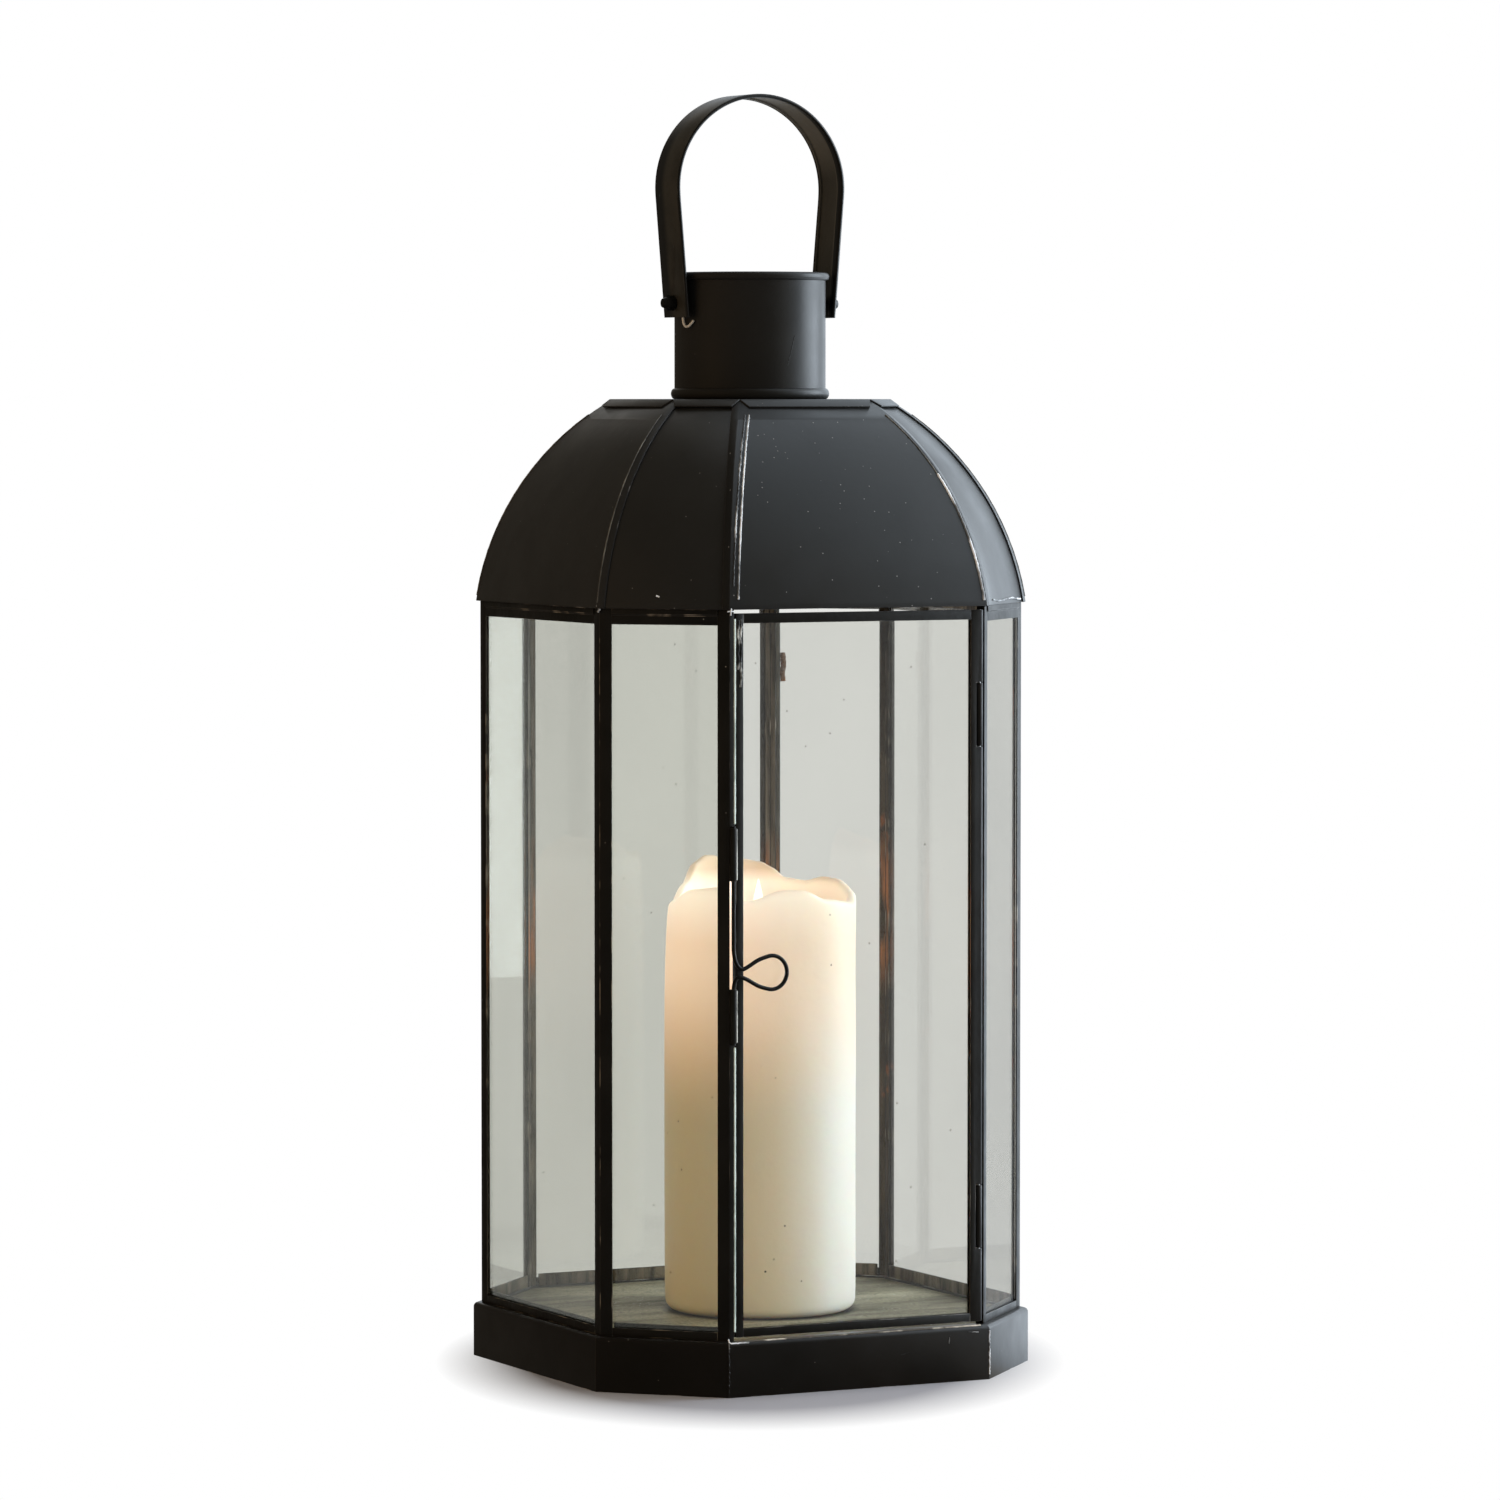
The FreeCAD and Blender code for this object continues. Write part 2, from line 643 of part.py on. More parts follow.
def handle_strap():
    """Sheet strap bent to an arch, its long edges hemmed inwards, with a hole for each bolt."""
    half = SHEET / 2
    strap = strap_band(-half, half).extrude(Vector(0, HANDLE_WIDTH, 0))
    hem = strap_band(-half - SHEET, -half).extrude(Vector(0, HANDLE_HEM, 0))
    strap = strap.fuse(hem)
    hem.translate(Vector(0, HANDLE_WIDTH - HANDLE_HEM, 0))
    strap = strap.fuse(hem)
    reach = HANDLE_HALF_SPAN + HANDLE_TAIL
    start = Vector(-reach, 0, HANDLE_PIVOT_Z)
    hole = Part.makeCylinder(BOLT_RADIUS + BOLT_FIT, 2 * reach, start, Vector(1, 0, 0))
    return strap.cut(hole).removeSplitter()


BOLT_SLACK = 0.35
INNER_NUT_X = CHIMNEY_RADIUS + 0.02
OUTER_NUT_X = HANDLE_HALF_SPAN + SHEET / 2 + BOLT_SLACK


def along_pivot(shape, side):
    """A shape made along +X from the lantern's axis, moved to the pivot on one side of the chimney."""
    copy = shape.copy()
    copy.rotate(Vector(), Vector(0, 0, 1), 0 if side > 0 else 180)
    copy.translate(Vector(0, 0, HANDLE_PIVOT_Z))
    return copy


def handle_bolt(side):
    """Hexagon bolt: its head inside the chimney, a nut on the wall and a cap nut over the loose strap."""
    corner = NUT_FLATS / math.sqrt(3)
    head_x = math.sqrt((CHIMNEY_RADIUS - SHEET) ** 2 - corner ** 2) - NUT_HEIGHT
    dome_x = OUTER_NUT_X + CAP_NUT_HEIGHT
    bolt = Part.makeCylinder(BOLT_RADIUS, dome_x - head_x, Vector(head_x, 0, 0), Vector(1, 0, 0))
    angles = [math.radians(60 * step) for step in range(6)]
    for x, height in ((head_x, NUT_HEIGHT), (INNER_NUT_X, NUT_HEIGHT), (OUTER_NUT_X, CAP_NUT_HEIGHT)):
        outline = [Vector(x, corner * math.sin(a), corner * math.cos(a)) for a in angles]
        bolt = bolt.fuse(flat_face(outline).extrude(Vector(height, 0, 0)))
    # The cap is turned in flats, as shares of its radius.
    dome = [(0, 0), (0, 1), (0.7, 0.7), (1, 0)]
    outline = [Vector(dome_x + x * CAP_NUT_DOME, 0, r * CAP_NUT_DOME) for x, r in dome]
    bolt = bolt.fuse(flat_face(outline).revolve(Vector(), Vector(1, 0, 0), 360))
    return along_pivot(bolt.removeSplitter(), side)


def pivot_wire():
    """Thin wire hooked beside the inner nut on the left, its free end curled back to the chimney wall."""
    x = -(INNER_NUT_X + NUT_HEIGHT / 2)
    beside = NUT_FLATS / 2 + PIVOT_WIRE / 2 + 0.02
    drop = HANDLE_PIVOT_Z - HANDLE_TAIL
    bend = 1.6
    points = [
        Vector(x, -beside, HANDLE_PIVOT_Z + 1.0),
        Vector(x, -beside, drop),
        Vector(x + 0.3, -PIVOT_WIRE_REACH * 0.56, drop - PIVOT_WIRE_SAG),
        Vector(x + 2.2, -PIVOT_WIRE_REACH, drop - 1.0),
    ]
    return bent_wire(points, [bend, bend], PIVOT_WIRE / 2)


# Candle

HOLLOW_FOOT = CANDLE_CENTRE + Vector(0, 0, FLOOR_TOP + CANDLE_HEIGHT - HOLLOW_DEPTH)


def candle():
    """Pillar of wax with an eased foot and a burnt-down hollow that leans, so the back rim is highest."""
    wax = Part.makeCylinder(CANDLE_RADIUS, CANDLE_HEIGHT, CANDLE_CENTRE + Vector(0, 0, FLOOR_TOP))
    low = [e for e in wax.Edges if e.isClosed() and abs(e.CenterOfMass.z - FLOOR_TOP) < 1e-6]
    wax = wax.makeChamfer(CANDLE_FOOT_EASE, low)
    # A flat pool, a slope and a steep rim, as shares of the candle's radius and the hollow's depth.
    bowl = [(0, 0), (0.45, 0), (0.9, 0.36), (1.3, 1.9), (0, 1.9)]
    outline = [Vector(r * CANDLE_RADIUS, 0, h * HOLLOW_DEPTH) for r, h in bowl]
    hollow = flat_face(outline).revolve(Vector(), Vector(0, 0, 1), 360)
    hollow.rotate(Vector(), Vector(1, 0, 0), HOLLOW_TILT)
    hollow.translate(HOLLOW_FOOT)
    return wax.cut(hollow).cut(candle_wick())


def candle_wick():
    """Cotton wick, set into the wax in the middle of the hollow."""
    foot, top = HOLLOW_FOOT.z - WICK_SET, HOLLOW_FOOT.z + WICK_HEIGHT
    return upright_cylinder(CANDLE_CENTRE, WICK_RADIUS, foot, top)


# The whole lantern, one named node each

nodes = {"base_tray": base_tray(), "floor_plate": floor_plate()}

nodes["corner_post_1"] = latch_post()
nodes["corner_post_2"] = hinge_post()
for corner in range(2, 8):
    nodes[f"corner_post_{corner + 1}"] = glazed_post(corner)

for index, face in enumerate(FACES):
    if face != "front":
        nodes[f"top_rail_{face}"] = top_rail(index)
        nodes[f"bottom_rail_{face}"] = bottom_rail(index)
        nodes[f"pane_{face}"] = pane(index)

nodes["door_latch_stile"] = door_latch_stile()
nodes["door_hinge_stile"] = door_hinge_stile()
nodes["door_top_rail"] = door_rail(DOOR_HEAD, -1, DOOR_TOP_RAIL)
nodes["door_bottom_rail"] = door_rail(DOOR_FOOT, 1, DOOR_BOTTOM_RAIL)
nodes["door_glass"] = door_glass()
nodes["hinge_wire"] = hinge_wire()
nodes["latch_wire"] = latch_wire()

for index, face in enumerate(FACES):
    nodes[f"roof_panel_{face}"] = narrow_roof_panel(index) if index % 2 else wide_roof_panel(index)
nodes["roof_cap"] = roof_cap()
nodes["chimney"] = chimney()

nodes["handle_strap"] = handle_strap()
for name, side in (("left", -1), ("right", 1)):
    nodes[f"handle_bolt_{name}"] = handle_bolt(side)
nodes["pivot_wire"] = pivot_wire()

nodes["candle"] = candle()
nodes["candle_wick"] = candle_wick()

os.makedirs("parts", exist_ok=True)
for name, shape in nodes.items():
    solids = shape.Solids
    print(name, len(solids), "solid", round(shape.Volume, 1), "mm3", "valid" if shape.isValid() else "BAD")
    shape.exportStep(f"parts/{name}.step")
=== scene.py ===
import bpy
import json
import math
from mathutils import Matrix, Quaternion, Vector, noise

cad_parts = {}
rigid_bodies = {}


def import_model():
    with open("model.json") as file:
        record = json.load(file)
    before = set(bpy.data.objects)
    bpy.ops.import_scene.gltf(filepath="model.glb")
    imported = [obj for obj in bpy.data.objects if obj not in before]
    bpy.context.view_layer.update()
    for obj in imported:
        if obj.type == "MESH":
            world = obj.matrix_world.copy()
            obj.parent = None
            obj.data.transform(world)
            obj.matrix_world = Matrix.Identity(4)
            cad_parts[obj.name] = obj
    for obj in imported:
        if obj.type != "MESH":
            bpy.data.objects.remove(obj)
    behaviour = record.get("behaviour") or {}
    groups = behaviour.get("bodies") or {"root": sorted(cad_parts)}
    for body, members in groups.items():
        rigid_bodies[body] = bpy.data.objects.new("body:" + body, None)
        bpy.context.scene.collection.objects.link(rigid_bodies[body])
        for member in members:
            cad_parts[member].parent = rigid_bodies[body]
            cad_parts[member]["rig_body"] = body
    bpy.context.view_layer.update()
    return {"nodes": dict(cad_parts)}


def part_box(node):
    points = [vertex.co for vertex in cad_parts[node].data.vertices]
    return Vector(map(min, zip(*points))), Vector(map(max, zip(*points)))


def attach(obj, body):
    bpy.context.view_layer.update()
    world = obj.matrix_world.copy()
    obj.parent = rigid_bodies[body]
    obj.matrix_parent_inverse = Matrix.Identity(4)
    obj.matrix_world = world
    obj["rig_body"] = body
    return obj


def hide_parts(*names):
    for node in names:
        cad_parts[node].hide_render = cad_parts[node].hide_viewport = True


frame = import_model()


# Base tray
# The foot of the lantern is one steel sheet folded down on eight sides, its corners lapped and soldered.
# It is painted a brownish black that has rubbed through along the top bend, where the door drags over it,
# and a pale line there is painted highlight as well.

def new_finish(name):
    """A node material, its tree and the shader that its surface ends in."""
    finish = bpy.data.materials.new(name)
    finish.use_nodes = True
    return finish, finish.node_tree, finish.node_tree.nodes["Principled BSDF"]


def place_on_piece(tree, stretch=(1, 1, 1)):
    """Position on the piece itself, in metres, drawn out along the axes by the given factors."""
    where = tree.nodes.new("ShaderNodeTexCoord")
    mapping = tree.nodes.new("ShaderNodeMapping")
    mapping.inputs["Scale"].default_value = stretch
    tree.links.new(where.outputs["Object"], mapping.inputs["Vector"])
    return mapping.outputs["Vector"]


def clouds(tree, per_metre, detail=3.0, stretch=(1, 1, 1)):
    """Cloudy pattern from 0 to 1."""
    texture = tree.nodes.new("ShaderNodeTexNoise")
    texture.inputs["Scale"].default_value = per_metre
    texture.inputs["Detail"].default_value = detail
    tree.links.new(place_on_piece(tree, stretch), texture.inputs["Vector"])
    return texture.outputs["Fac"]


def between(tree, value, low, high, to_low=0.0, to_high=1.0):
    """Part of a value's range, stretched over a new range and held at its ends."""
    stretch = tree.nodes.new("ShaderNodeMapRange")
    for socket, number in zip(("From Min", "From Max", "To Min", "To Max"), (low, high, to_low, to_high)):
        stretch.inputs[socket].default_value = number
    tree.links.new(value, stretch.inputs["Value"])
    return stretch.outputs["Result"]


def arithmetic(tree, operation, first, second):
    """One sum on two values; the second may be a plain number."""
    node = tree.nodes.new("ShaderNodeMath")
    node.operation = operation
    tree.links.new(first, node.inputs[0])
    if isinstance(second, (int, float)):
        node.inputs[1].default_value = second
    else:
        tree.links.new(second, node.inputs[1])
    return node.outputs[0]


def tinted(tree, share, first, second):
    """A colour between two others; each may be a plain (r, g, b) or the result of another node."""
    node = tree.nodes.new("ShaderNodeMix")
    node.data_type = "RGBA"
    tree.links.new(share, node.inputs["Factor"])
    for socket, colour in ((node.inputs[6], first), (node.inputs[7], second)):
        if isinstance(colour, tuple):
            socket.default_value = (*colour, 1.0)
        else:
            tree.links.new(colour, socket)
    return node.outputs[2]


def flecks(tree, per_metre, size, share):
    """Small round spots: one in each cell of a loose grid, kept in a given share of the cells."""
    cells = tree.nodes.new("ShaderNodeTexVoronoi")
    cells.inputs["Scale"].default_value = per_metre
    tree.links.new(place_on_piece(tree), cells.inputs["Vector"])
    parts = tree.nodes.new("ShaderNodeSeparateColor")
    tree.links.new(cells.outputs["Color"], parts.inputs["Color"])
    spot = between(tree, cells.outputs["Distance"], size, size * 0.6)
    kept = between(tree, parts.outputs["Red"], share, share * 0.9)
    return arithmetic(tree, "MULTIPLY", spot, kept)


def uneven(tree, shader, height, depth):
    """Fine relief on a surface."""
    bump = tree.nodes.new("ShaderNodeBump")
    bump.inputs["Distance"].default_value = depth
    tree.links.new(height, bump.inputs["Height"])
    tree.links.new(bump.outputs["Normal"], shader.inputs["Normal"])


def black_paint(name, dark, pale, dust, dust_share, gloss=0.32):
    """Satin black paint on sheet, clouded between two tones and dusted with pale flecks."""
    finish, tree, shader = new_finish(name)
    tone = between(tree, clouds(tree, 18, 5), 0.3, 0.7)
    colour = tinted(tree, tone, dark, pale)
    specks = flecks(tree, 330, 0.09, dust_share)
    colour = tinted(tree, specks, colour, dust)
    tree.links.new(colour, shader.inputs["Base Color"])
    tree.links.new(between(tree, clouds(tree, 60, 4), 0.3, 0.7, 0.30, 0.40), shader.inputs["Roughness"])
    shader.inputs["Specular IOR Level"].default_value = gloss
    uneven(tree, shader, clouds(tree, 300, 3), 0.00003)
    return finish


def worn_edge(name, paint, metal, wear, shine=0.5):
    """A fold where the paint has rubbed off in patches and shows bright metal."""
    finish, tree, shader = new_finish(name)
    bare = between(tree, clouds(tree, 75, 6), 0.62 - wear, 0.74 - wear)
    tree.links.new(tinted(tree, bare, paint, metal), shader.inputs["Base Color"])
    tree.links.new(between(tree, bare, 0, 1, 0.0, shine), shader.inputs["Metallic"])
    tree.links.new(between(tree, clouds(tree, 300, 3), 0.3, 0.7, 0.3, 0.55), shader.inputs["Roughness"])
    shader.inputs["Specular IOR Level"].default_value = 0.35
    return finish


# Width of an eased fold, and how close two points lie that are one.
FOLD = 0.0002
TOUCHING = 0.000005


def softened(node, fold, *finishes):
    """A sheet piece with eased folds, in place of the plain one; the folds take the last finish."""
    plain = frame["nodes"][node]
    piece = bpy.data.objects.new(node + "_sheet", plain.data.copy())
    bpy.context.scene.collection.objects.link(piece)
    piece.data.materials.clear()
    for finish in finishes:
        piece.data.materials.append(finish)
    bpy.ops.object.select_all(action="DESELECT")
    piece.select_set(True)
    bpy.context.view_layer.objects.active = piece
    bpy.ops.mesh.customdata_custom_splitnormals_clear()
    bpy.ops.object.mode_set(mode="EDIT")
    bpy.ops.mesh.select_all(action="SELECT")
    bpy.ops.mesh.remove_doubles(threshold=TOUCHING)
    bpy.ops.mesh.dissolve_limited(angle_limit=math.radians(0.3))
    bpy.ops.object.mode_set(mode="OBJECT")
    folds = piece.modifiers.new("folds", "BEVEL")
    folds.width = fold
    folds.segments = 2
    folds.limit_method = "ANGLE"
    folds.angle_limit = math.radians(28)
    folds.material = len(finishes) - 1
    bpy.ops.object.modifier_apply(modifier=folds.name)
    bpy.ops.object.shade_smooth_by_angle(angle=math.radians(27))
    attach(piece, plain["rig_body"])
    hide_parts(node)
    return piece


ROD_STEPS = 10


def bent_rod(name, route, thickness):
    """A round rod along a smooth route, as a mesh."""
    bpy.ops.object.select_all(action="DESELECT")
    bpy.ops.curve.primitive_nurbs_path_add()
    rod = bpy.context.object
    rod.name = name
    line = rod.data.splines[0]
    line.points.add(len(route) - len(line.points))
    for point, place in zip(line.points, route):
        point.co = (*place, 1.0)
    line.order_u = 3
    line.use_endpoint_u = True
    line.resolution_u = ROD_STEPS
    rod.data.bevel_depth = thickness / 2
    rod.data.bevel_resolution = 3
    rod.data.use_fill_caps = True
    bpy.ops.object.convert(target="MESH")
    bpy.ops.object.shade_smooth_by_angle(angle=math.radians(40))
    return rod


# The unevenness has a set seed, so that each run gives the same beads.
RAGGED_PER_METRE, RAGGED_SEED = 900, 1
noise.seed_set(RAGGED_SEED)


def ragged(name, body, route, thickness, rough, finish):
    """A thin, uneven bead of solder or line of bare metal along a route."""
    steps = []
    for here, there in zip(route, route[1:]):
        steps += [Vector(here).lerp(Vector(there), quarter / 4) for quarter in range(4)]
    bead_line = bent_rod(name, steps + [Vector(route[-1])], thickness)
    for vertex in bead_line.data.vertices:
        vertex.co += noise.noise_vector(vertex.co * RAGGED_PER_METRE) * rough
    bead_line.data.materials.append(finish)
    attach(bead_line, body)


BARE_STEEL = (0.42, 0.42, 0.43)
base_paint = black_paint("base_paint", (0.0050, 0.0042, 0.0034), (0.0090, 0.0074, 0.0060),
                         (0.12, 0.11, 0.10), 0.10)
base_fold = worn_edge("base_fold", (0.016, 0.014, 0.012), BARE_STEEL, 0.08)
softened("base_tray", FOLD, base_paint, base_fold)

solder = worn_edge("bare_solder", (0.16, 0.17, 0.18), (0.90, 0.95, 1.0), 0.20, 0.0)
chipped = worn_edge("chipped_paint", (0.012, 0.011, 0.010), (0.75, 0.78, 0.80), 0.06, 0.0)
bend_highlight_and_wear = worn_edge("bend_highlight_and_wear_finish", (0.09, 0.083, 0.070), (0.66, 0.62, 0.54), 0.08, 0.2)
# Widths of the uneven lines of worn metal and solder.
MEDIUM_LINE, FINE_LINE, HAIRLINE = 0.0008, 0.0006, 0.00025
BASE_CORNER_X, BASE_FRONT, BEND_Z = 0.06025, -0.1010, 0.0226
# The pale line along the front bend is painted highlight as well as worn metal.
bend = [(x, BASE_FRONT + 0.0011, BEND_Z) for x in (-0.0565, -0.03, 0.0, 0.03, 0.0565)]
ragged("bend_highlight_and_wear_line", "lantern", bend, MEDIUM_LINE, 0.00010, bend_highlight_and_wear)
lap = [(-0.0594, -0.0988, 0.0236), (-0.0597, -0.0998, 0.0228), (-0.0590, -0.1005, 0.0222),
       (-0.0560, -0.1005, 0.0222), (-0.0510, -0.1005, 0.0222)]
ragged("lap_bead", "lantern", lap, FINE_LINE, 0.00015, solder)
for side, finish in ((-1, chipped), (1, solder)):
    corner = [(side * BASE_CORNER_X, BASE_FRONT, z) for z in (0.0205, 0.014, 0.008, 0.002)]
    ragged(f"corner_chips_{side}", "lantern", corner, FINE_LINE, 0.00030, finish)
# Each scratch by where it starts on the front, and how far it runs across and up.
SCRATCHES = ((0.0417, 0.0195, -0.0006, -0.0034), (0.0187, 0.0128, 0.0034, 0.0006),
             (0.0500, 0.0204, 0.0050, -0.0004))
for number, (x, z, run, rise) in enumerate(SCRATCHES):
    nick = [(x, BASE_FRONT, z), (x + run / 2, BASE_FRONT, z + rise / 3), (x + run, BASE_FRONT, z + rise)]
    ragged(f"scratch_{number}", "lantern", nick, HAIRLINE, 0.00020, chipped)


# Floor plate
# A loose piece of bare galvanised sheet lies on the tray and catches the wax.
# It is dull grey, with brown stains in streaks and a scatter of white dust.

floor_finish, tree, shader = new_finish("dull_galvanised")
streaks = clouds(tree, 26, 5, (0.35, 1.6, 1))
stain = between(tree, streaks, 0.42, 0.68)
zinc = tinted(tree, clouds(tree, 70, 4), (0.30, 0.28, 0.19), (0.58, 0.545, 0.385))
zinc = tinted(tree, stain, zinc, (0.070, 0.056, 0.032))
grain = between(tree, clouds(tree, 750, 2), 0.52, 0.66, 0.0, 0.6)
zinc = tinted(tree, grain, zinc, (0.045, 0.036, 0.020))
zinc = tinted(tree, flecks(tree, 420, 0.16, 0.34), zinc, (0.9, 0.9, 0.88))
# A dark ring of painted shadow lies on the plate round the foot of the candle.
wax_low, wax_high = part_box("candle")
from_candle = tree.nodes.new("ShaderNodeVectorMath")
from_candle.operation = "DISTANCE"
from_candle.inputs[1].default_value = ((wax_low.x + wax_high.x) / 2, (wax_low.y + wax_high.y) / 2, wax_low.z)
tree.links.new(place_on_piece(tree), from_candle.inputs[0])
zinc = tinted(tree, between(tree, from_candle.outputs["Value"], 0.0425, 0.0385), zinc, (0.020, 0.016, 0.012))
tree.links.new(zinc, shader.inputs["Base Color"])
shader.inputs["Metallic"].default_value = 0.35
tree.links.new(between(tree, streaks, 0.3, 0.7, 0.42, 0.62), shader.inputs["Roughness"])
uneven(tree, shader, clouds(tree, 160, 4), 0.0003)
softened("floor_plate", FOLD, floor_finish)


# Corner posts and rails
# Each post is one narrow strip folded into two channels that hold the edges of the panes; the rails are
# folded the same way and soldered to them. Outside they are black, inside the paint is thin and rusty.

# Heights between which the orange band of painted candle glow on the posts comes and goes.
POST_GLOW_FOOT, POST_GLOW_TOP = (0.146, 0.166), (0.218, 0.200)


def post_paint(name, rust_share, thin_dark=(0.037, 0.030, 0.021), thin_pale=(0.185, 0.152, 0.110)):
    """Black outside; on the faces that look inwards, thin brown-grey paint with spots of rust, and an orange
    band of painted candle glow beside the flame.
    """
    finish, tree, shader = new_finish(name)
    where = tree.nodes.new("ShaderNodeTexCoord")
    flat = tree.nodes.new("ShaderNodeVectorMath")
    flat.operation = "MULTIPLY"
    flat.inputs[1].default_value = (1, 1, 0)
    tree.links.new(where.outputs["Object"], flat.inputs[0])
    radial = tree.nodes.new("ShaderNodeVectorMath")
    radial.operation = "NORMALIZE"
    tree.links.new(flat.outputs[0], radial.inputs[0])
    facing = tree.nodes.new("ShaderNodeVectorMath")
    facing.operation = "DOT_PRODUCT"
    tree.links.new(where.outputs["Normal"], facing.inputs[0])
    tree.links.new(radial.outputs[0], facing.inputs[1])
    inside = between(tree, facing.outputs["Value"], -0.3, -0.6)
    tone = between(tree, clouds(tree, 40, 5), 0.3, 0.7)
    black = tinted(tree, tone, (0.0062, 0.0061, 0.0053), (0.0115, 0.0112, 0.0098))
    black = tinted(tree, flecks(tree, 300, 0.10, 0.08), black, (0.22, 0.22, 0.21))
    thin = tinted(tree, between(tree, clouds(tree, 260, 6, (1, 1, 0.12)), 0.38, 0.62), thin_dark, thin_pale)
    rust = between(tree, clouds(tree, 45, 6), 0.68 - rust_share, 0.74 - rust_share)
    thin = tinted(tree, rust, thin, (0.30, 0.10, 0.03))
    # Beside the flame an orange band is painted on, a painted reflection of the candle's glow.
    height = tree.nodes.new("ShaderNodeSeparateXYZ")
    tree.links.new(where.outputs["Object"], height.inputs["Vector"])
    painted_candle_glow = arithmetic(tree, "MULTIPLY", between(tree, height.outputs["Z"], *POST_GLOW_FOOT),
                          between(tree, height.outputs["Z"], *POST_GLOW_TOP))
    patches = between(tree, clouds(tree, 160, 5, (1, 1, 0.2)), 0.40, 0.56)
    painted_candle_glow = arithmetic(tree, "MULTIPLY", painted_candle_glow, patches)
    thin = tinted(tree, painted_candle_glow, thin, (0.40, 0.16, 0.055))
    tree.links.new(tinted(tree, inside, black, thin), shader.inputs["Base Color"])
    tree.links.new(between(tree, clouds(tree, 90, 4), 0.3, 0.7, 0.34, 0.52), shader.inputs["Roughness"])
    shader.inputs["Specular IOR Level"].default_value = 0.20
    uneven(tree, shader, clouds(tree, 380, 4), 0.00015)
    return finish


post_finish = post_paint("post_paint", 0.02)
# One post takes a darker, browner copy of the paint on its inner faces.
darker_post_finish = post_paint("darker_post_paint", 0.0, (0.020, 0.014, 0.008), (0.075, 0.055, 0.033))
post_fold = worn_edge("post_fold", (0.016, 0.015, 0.013), (0.32, 0.28, 0.22), 0.08)
for node in frame["nodes"]:
    if node.startswith(("corner_post", "top_rail", "bottom_rail")):
        softened(node, FOLD, darker_post_finish if node == "corner_post_4" else post_finish, post_fold)

# Solder stands out where the left posts meet the eave, and a pale line on the flange beside the door is
# painted light through the slit and a painted highlight on its edge.
BROAD_LINE = 0.0009
blob = [(-0.0986, -0.0592, 0.3224), (-0.0992, -0.0588, 0.3212), (-0.0984, -0.0594, 0.3200),
        (-0.0990, -0.0590, 0.3187)]
ragged("eave_blob", "lantern", blob, BROAD_LINE, 0.00020, solder)
star_across = [(-0.0600, -0.0992, 0.3196), (-0.0586, -0.0994, 0.3198), (-0.0572, -0.0992, 0.3196)]
ragged("eave_star_across", "lantern", star_across, FINE_LINE, 0.00020, solder)
star_up = [(-0.0588, -0.0994, 0.3180), (-0.0586, -0.0995, 0.3197), (-0.0583, -0.0992, 0.3214)]
ragged("eave_star_up", "lantern", star_up, FINE_LINE, 0.00020, solder)
painted_slit_light = worn_edge("painted_slit_light", (0.45, 0.58, 0.56), (0.78, 0.95, 0.92), 0.20, 0.0)
for name, top, foot in (("above", 0.3165, 0.2335), ("below", 0.1425, 0.0265)):
    edge = [(-0.05615, -0.0979, top + (foot - top) * n / 6) for n in range(7)]
    ragged(f"slit_light_line_{name}", "lantern", edge, BROAD_LINE, 0.00008, painted_slit_light)
# Pale strips down the right side of the latch tubes are painted highlight as well as worn metal.
tube_highlight_and_wear = worn_edge("tube_highlight_and_wear", (0.16, 0.16, 0.14), (0.58, 0.59, 0.55), 0.18, 0.1)
for name, top, foot in (("upper", 0.2314, 0.2108), ("lower", 0.1658, 0.1448)):
    edge = [(-0.0562, -0.0996, top + (foot - top) * n / 4) for n in range(5)]
    ragged(f"tube_highlight_and_wear_{name}", "lantern", edge, BROAD_LINE, 0.00008, tube_highlight_and_wear)
rust = worn_edge("loose_rust", (0.10, 0.040, 0.012), (0.36, 0.15, 0.045), 0.14, 0.0)
scab = [(0.0624, 0.0928, 0.2945), (0.0629, 0.0928, 0.2900), (0.0623, 0.0928, 0.2860),
        (0.0627, 0.0928, 0.2822)]
SCAB_WIDTH = 0.0024
ragged("rust_scab", "lantern", scab, SCAB_WIDTH, 0.00060, rust)


# Panes
# Thin float glass, cut by hand and slid into the channels before the roof went on.
# It is grey with age and a film of dust, and lets the light through.

def dusty_glass(name, clean, dusty):
    """Clear glass under a film of dust, with a few dark specks; lamps shine through it."""
    finish, tree, shader = new_finish(name)
    film = between(tree, clouds(tree, 9, 5, (1, 1, 0.5)), 0.3, 0.75)
    tint = tinted(tree, film, clean, dusty)
    tint = tinted(tree, flecks(tree, 160, 0.10, 0.05), tint, (0.42, 0.41, 0.38))
    tree.links.new(tint, shader.inputs["Base Color"])
    shader.inputs["Transmission Weight"].default_value = 1.0
    shader.inputs["Roughness"].default_value = 0.0
    shader.inputs["IOR"].default_value = 1.5
    lamp_light = tree.nodes.new("ShaderNodeBsdfTransparent")
    lamp_light.inputs["Color"].default_value = (0.9, 0.9, 0.88, 1)
    ray = tree.nodes.new("ShaderNodeLightPath")
    through = tree.nodes.new("ShaderNodeMixShader")
    tree.links.new(ray.outputs["Is Shadow Ray"], through.inputs["Fac"])
    tree.links.new(shader.outputs["BSDF"], through.inputs[1])
    tree.links.new(lamp_light.outputs["BSDF"], through.inputs[2])
    tree.links.new(through.outputs["Shader"], tree.nodes["Material Output"].inputs["Surface"])
    return finish


glass_finish = dusty_glass("dusty_glass", (0.83, 0.835, 0.808), (0.76, 0.765, 0.742))
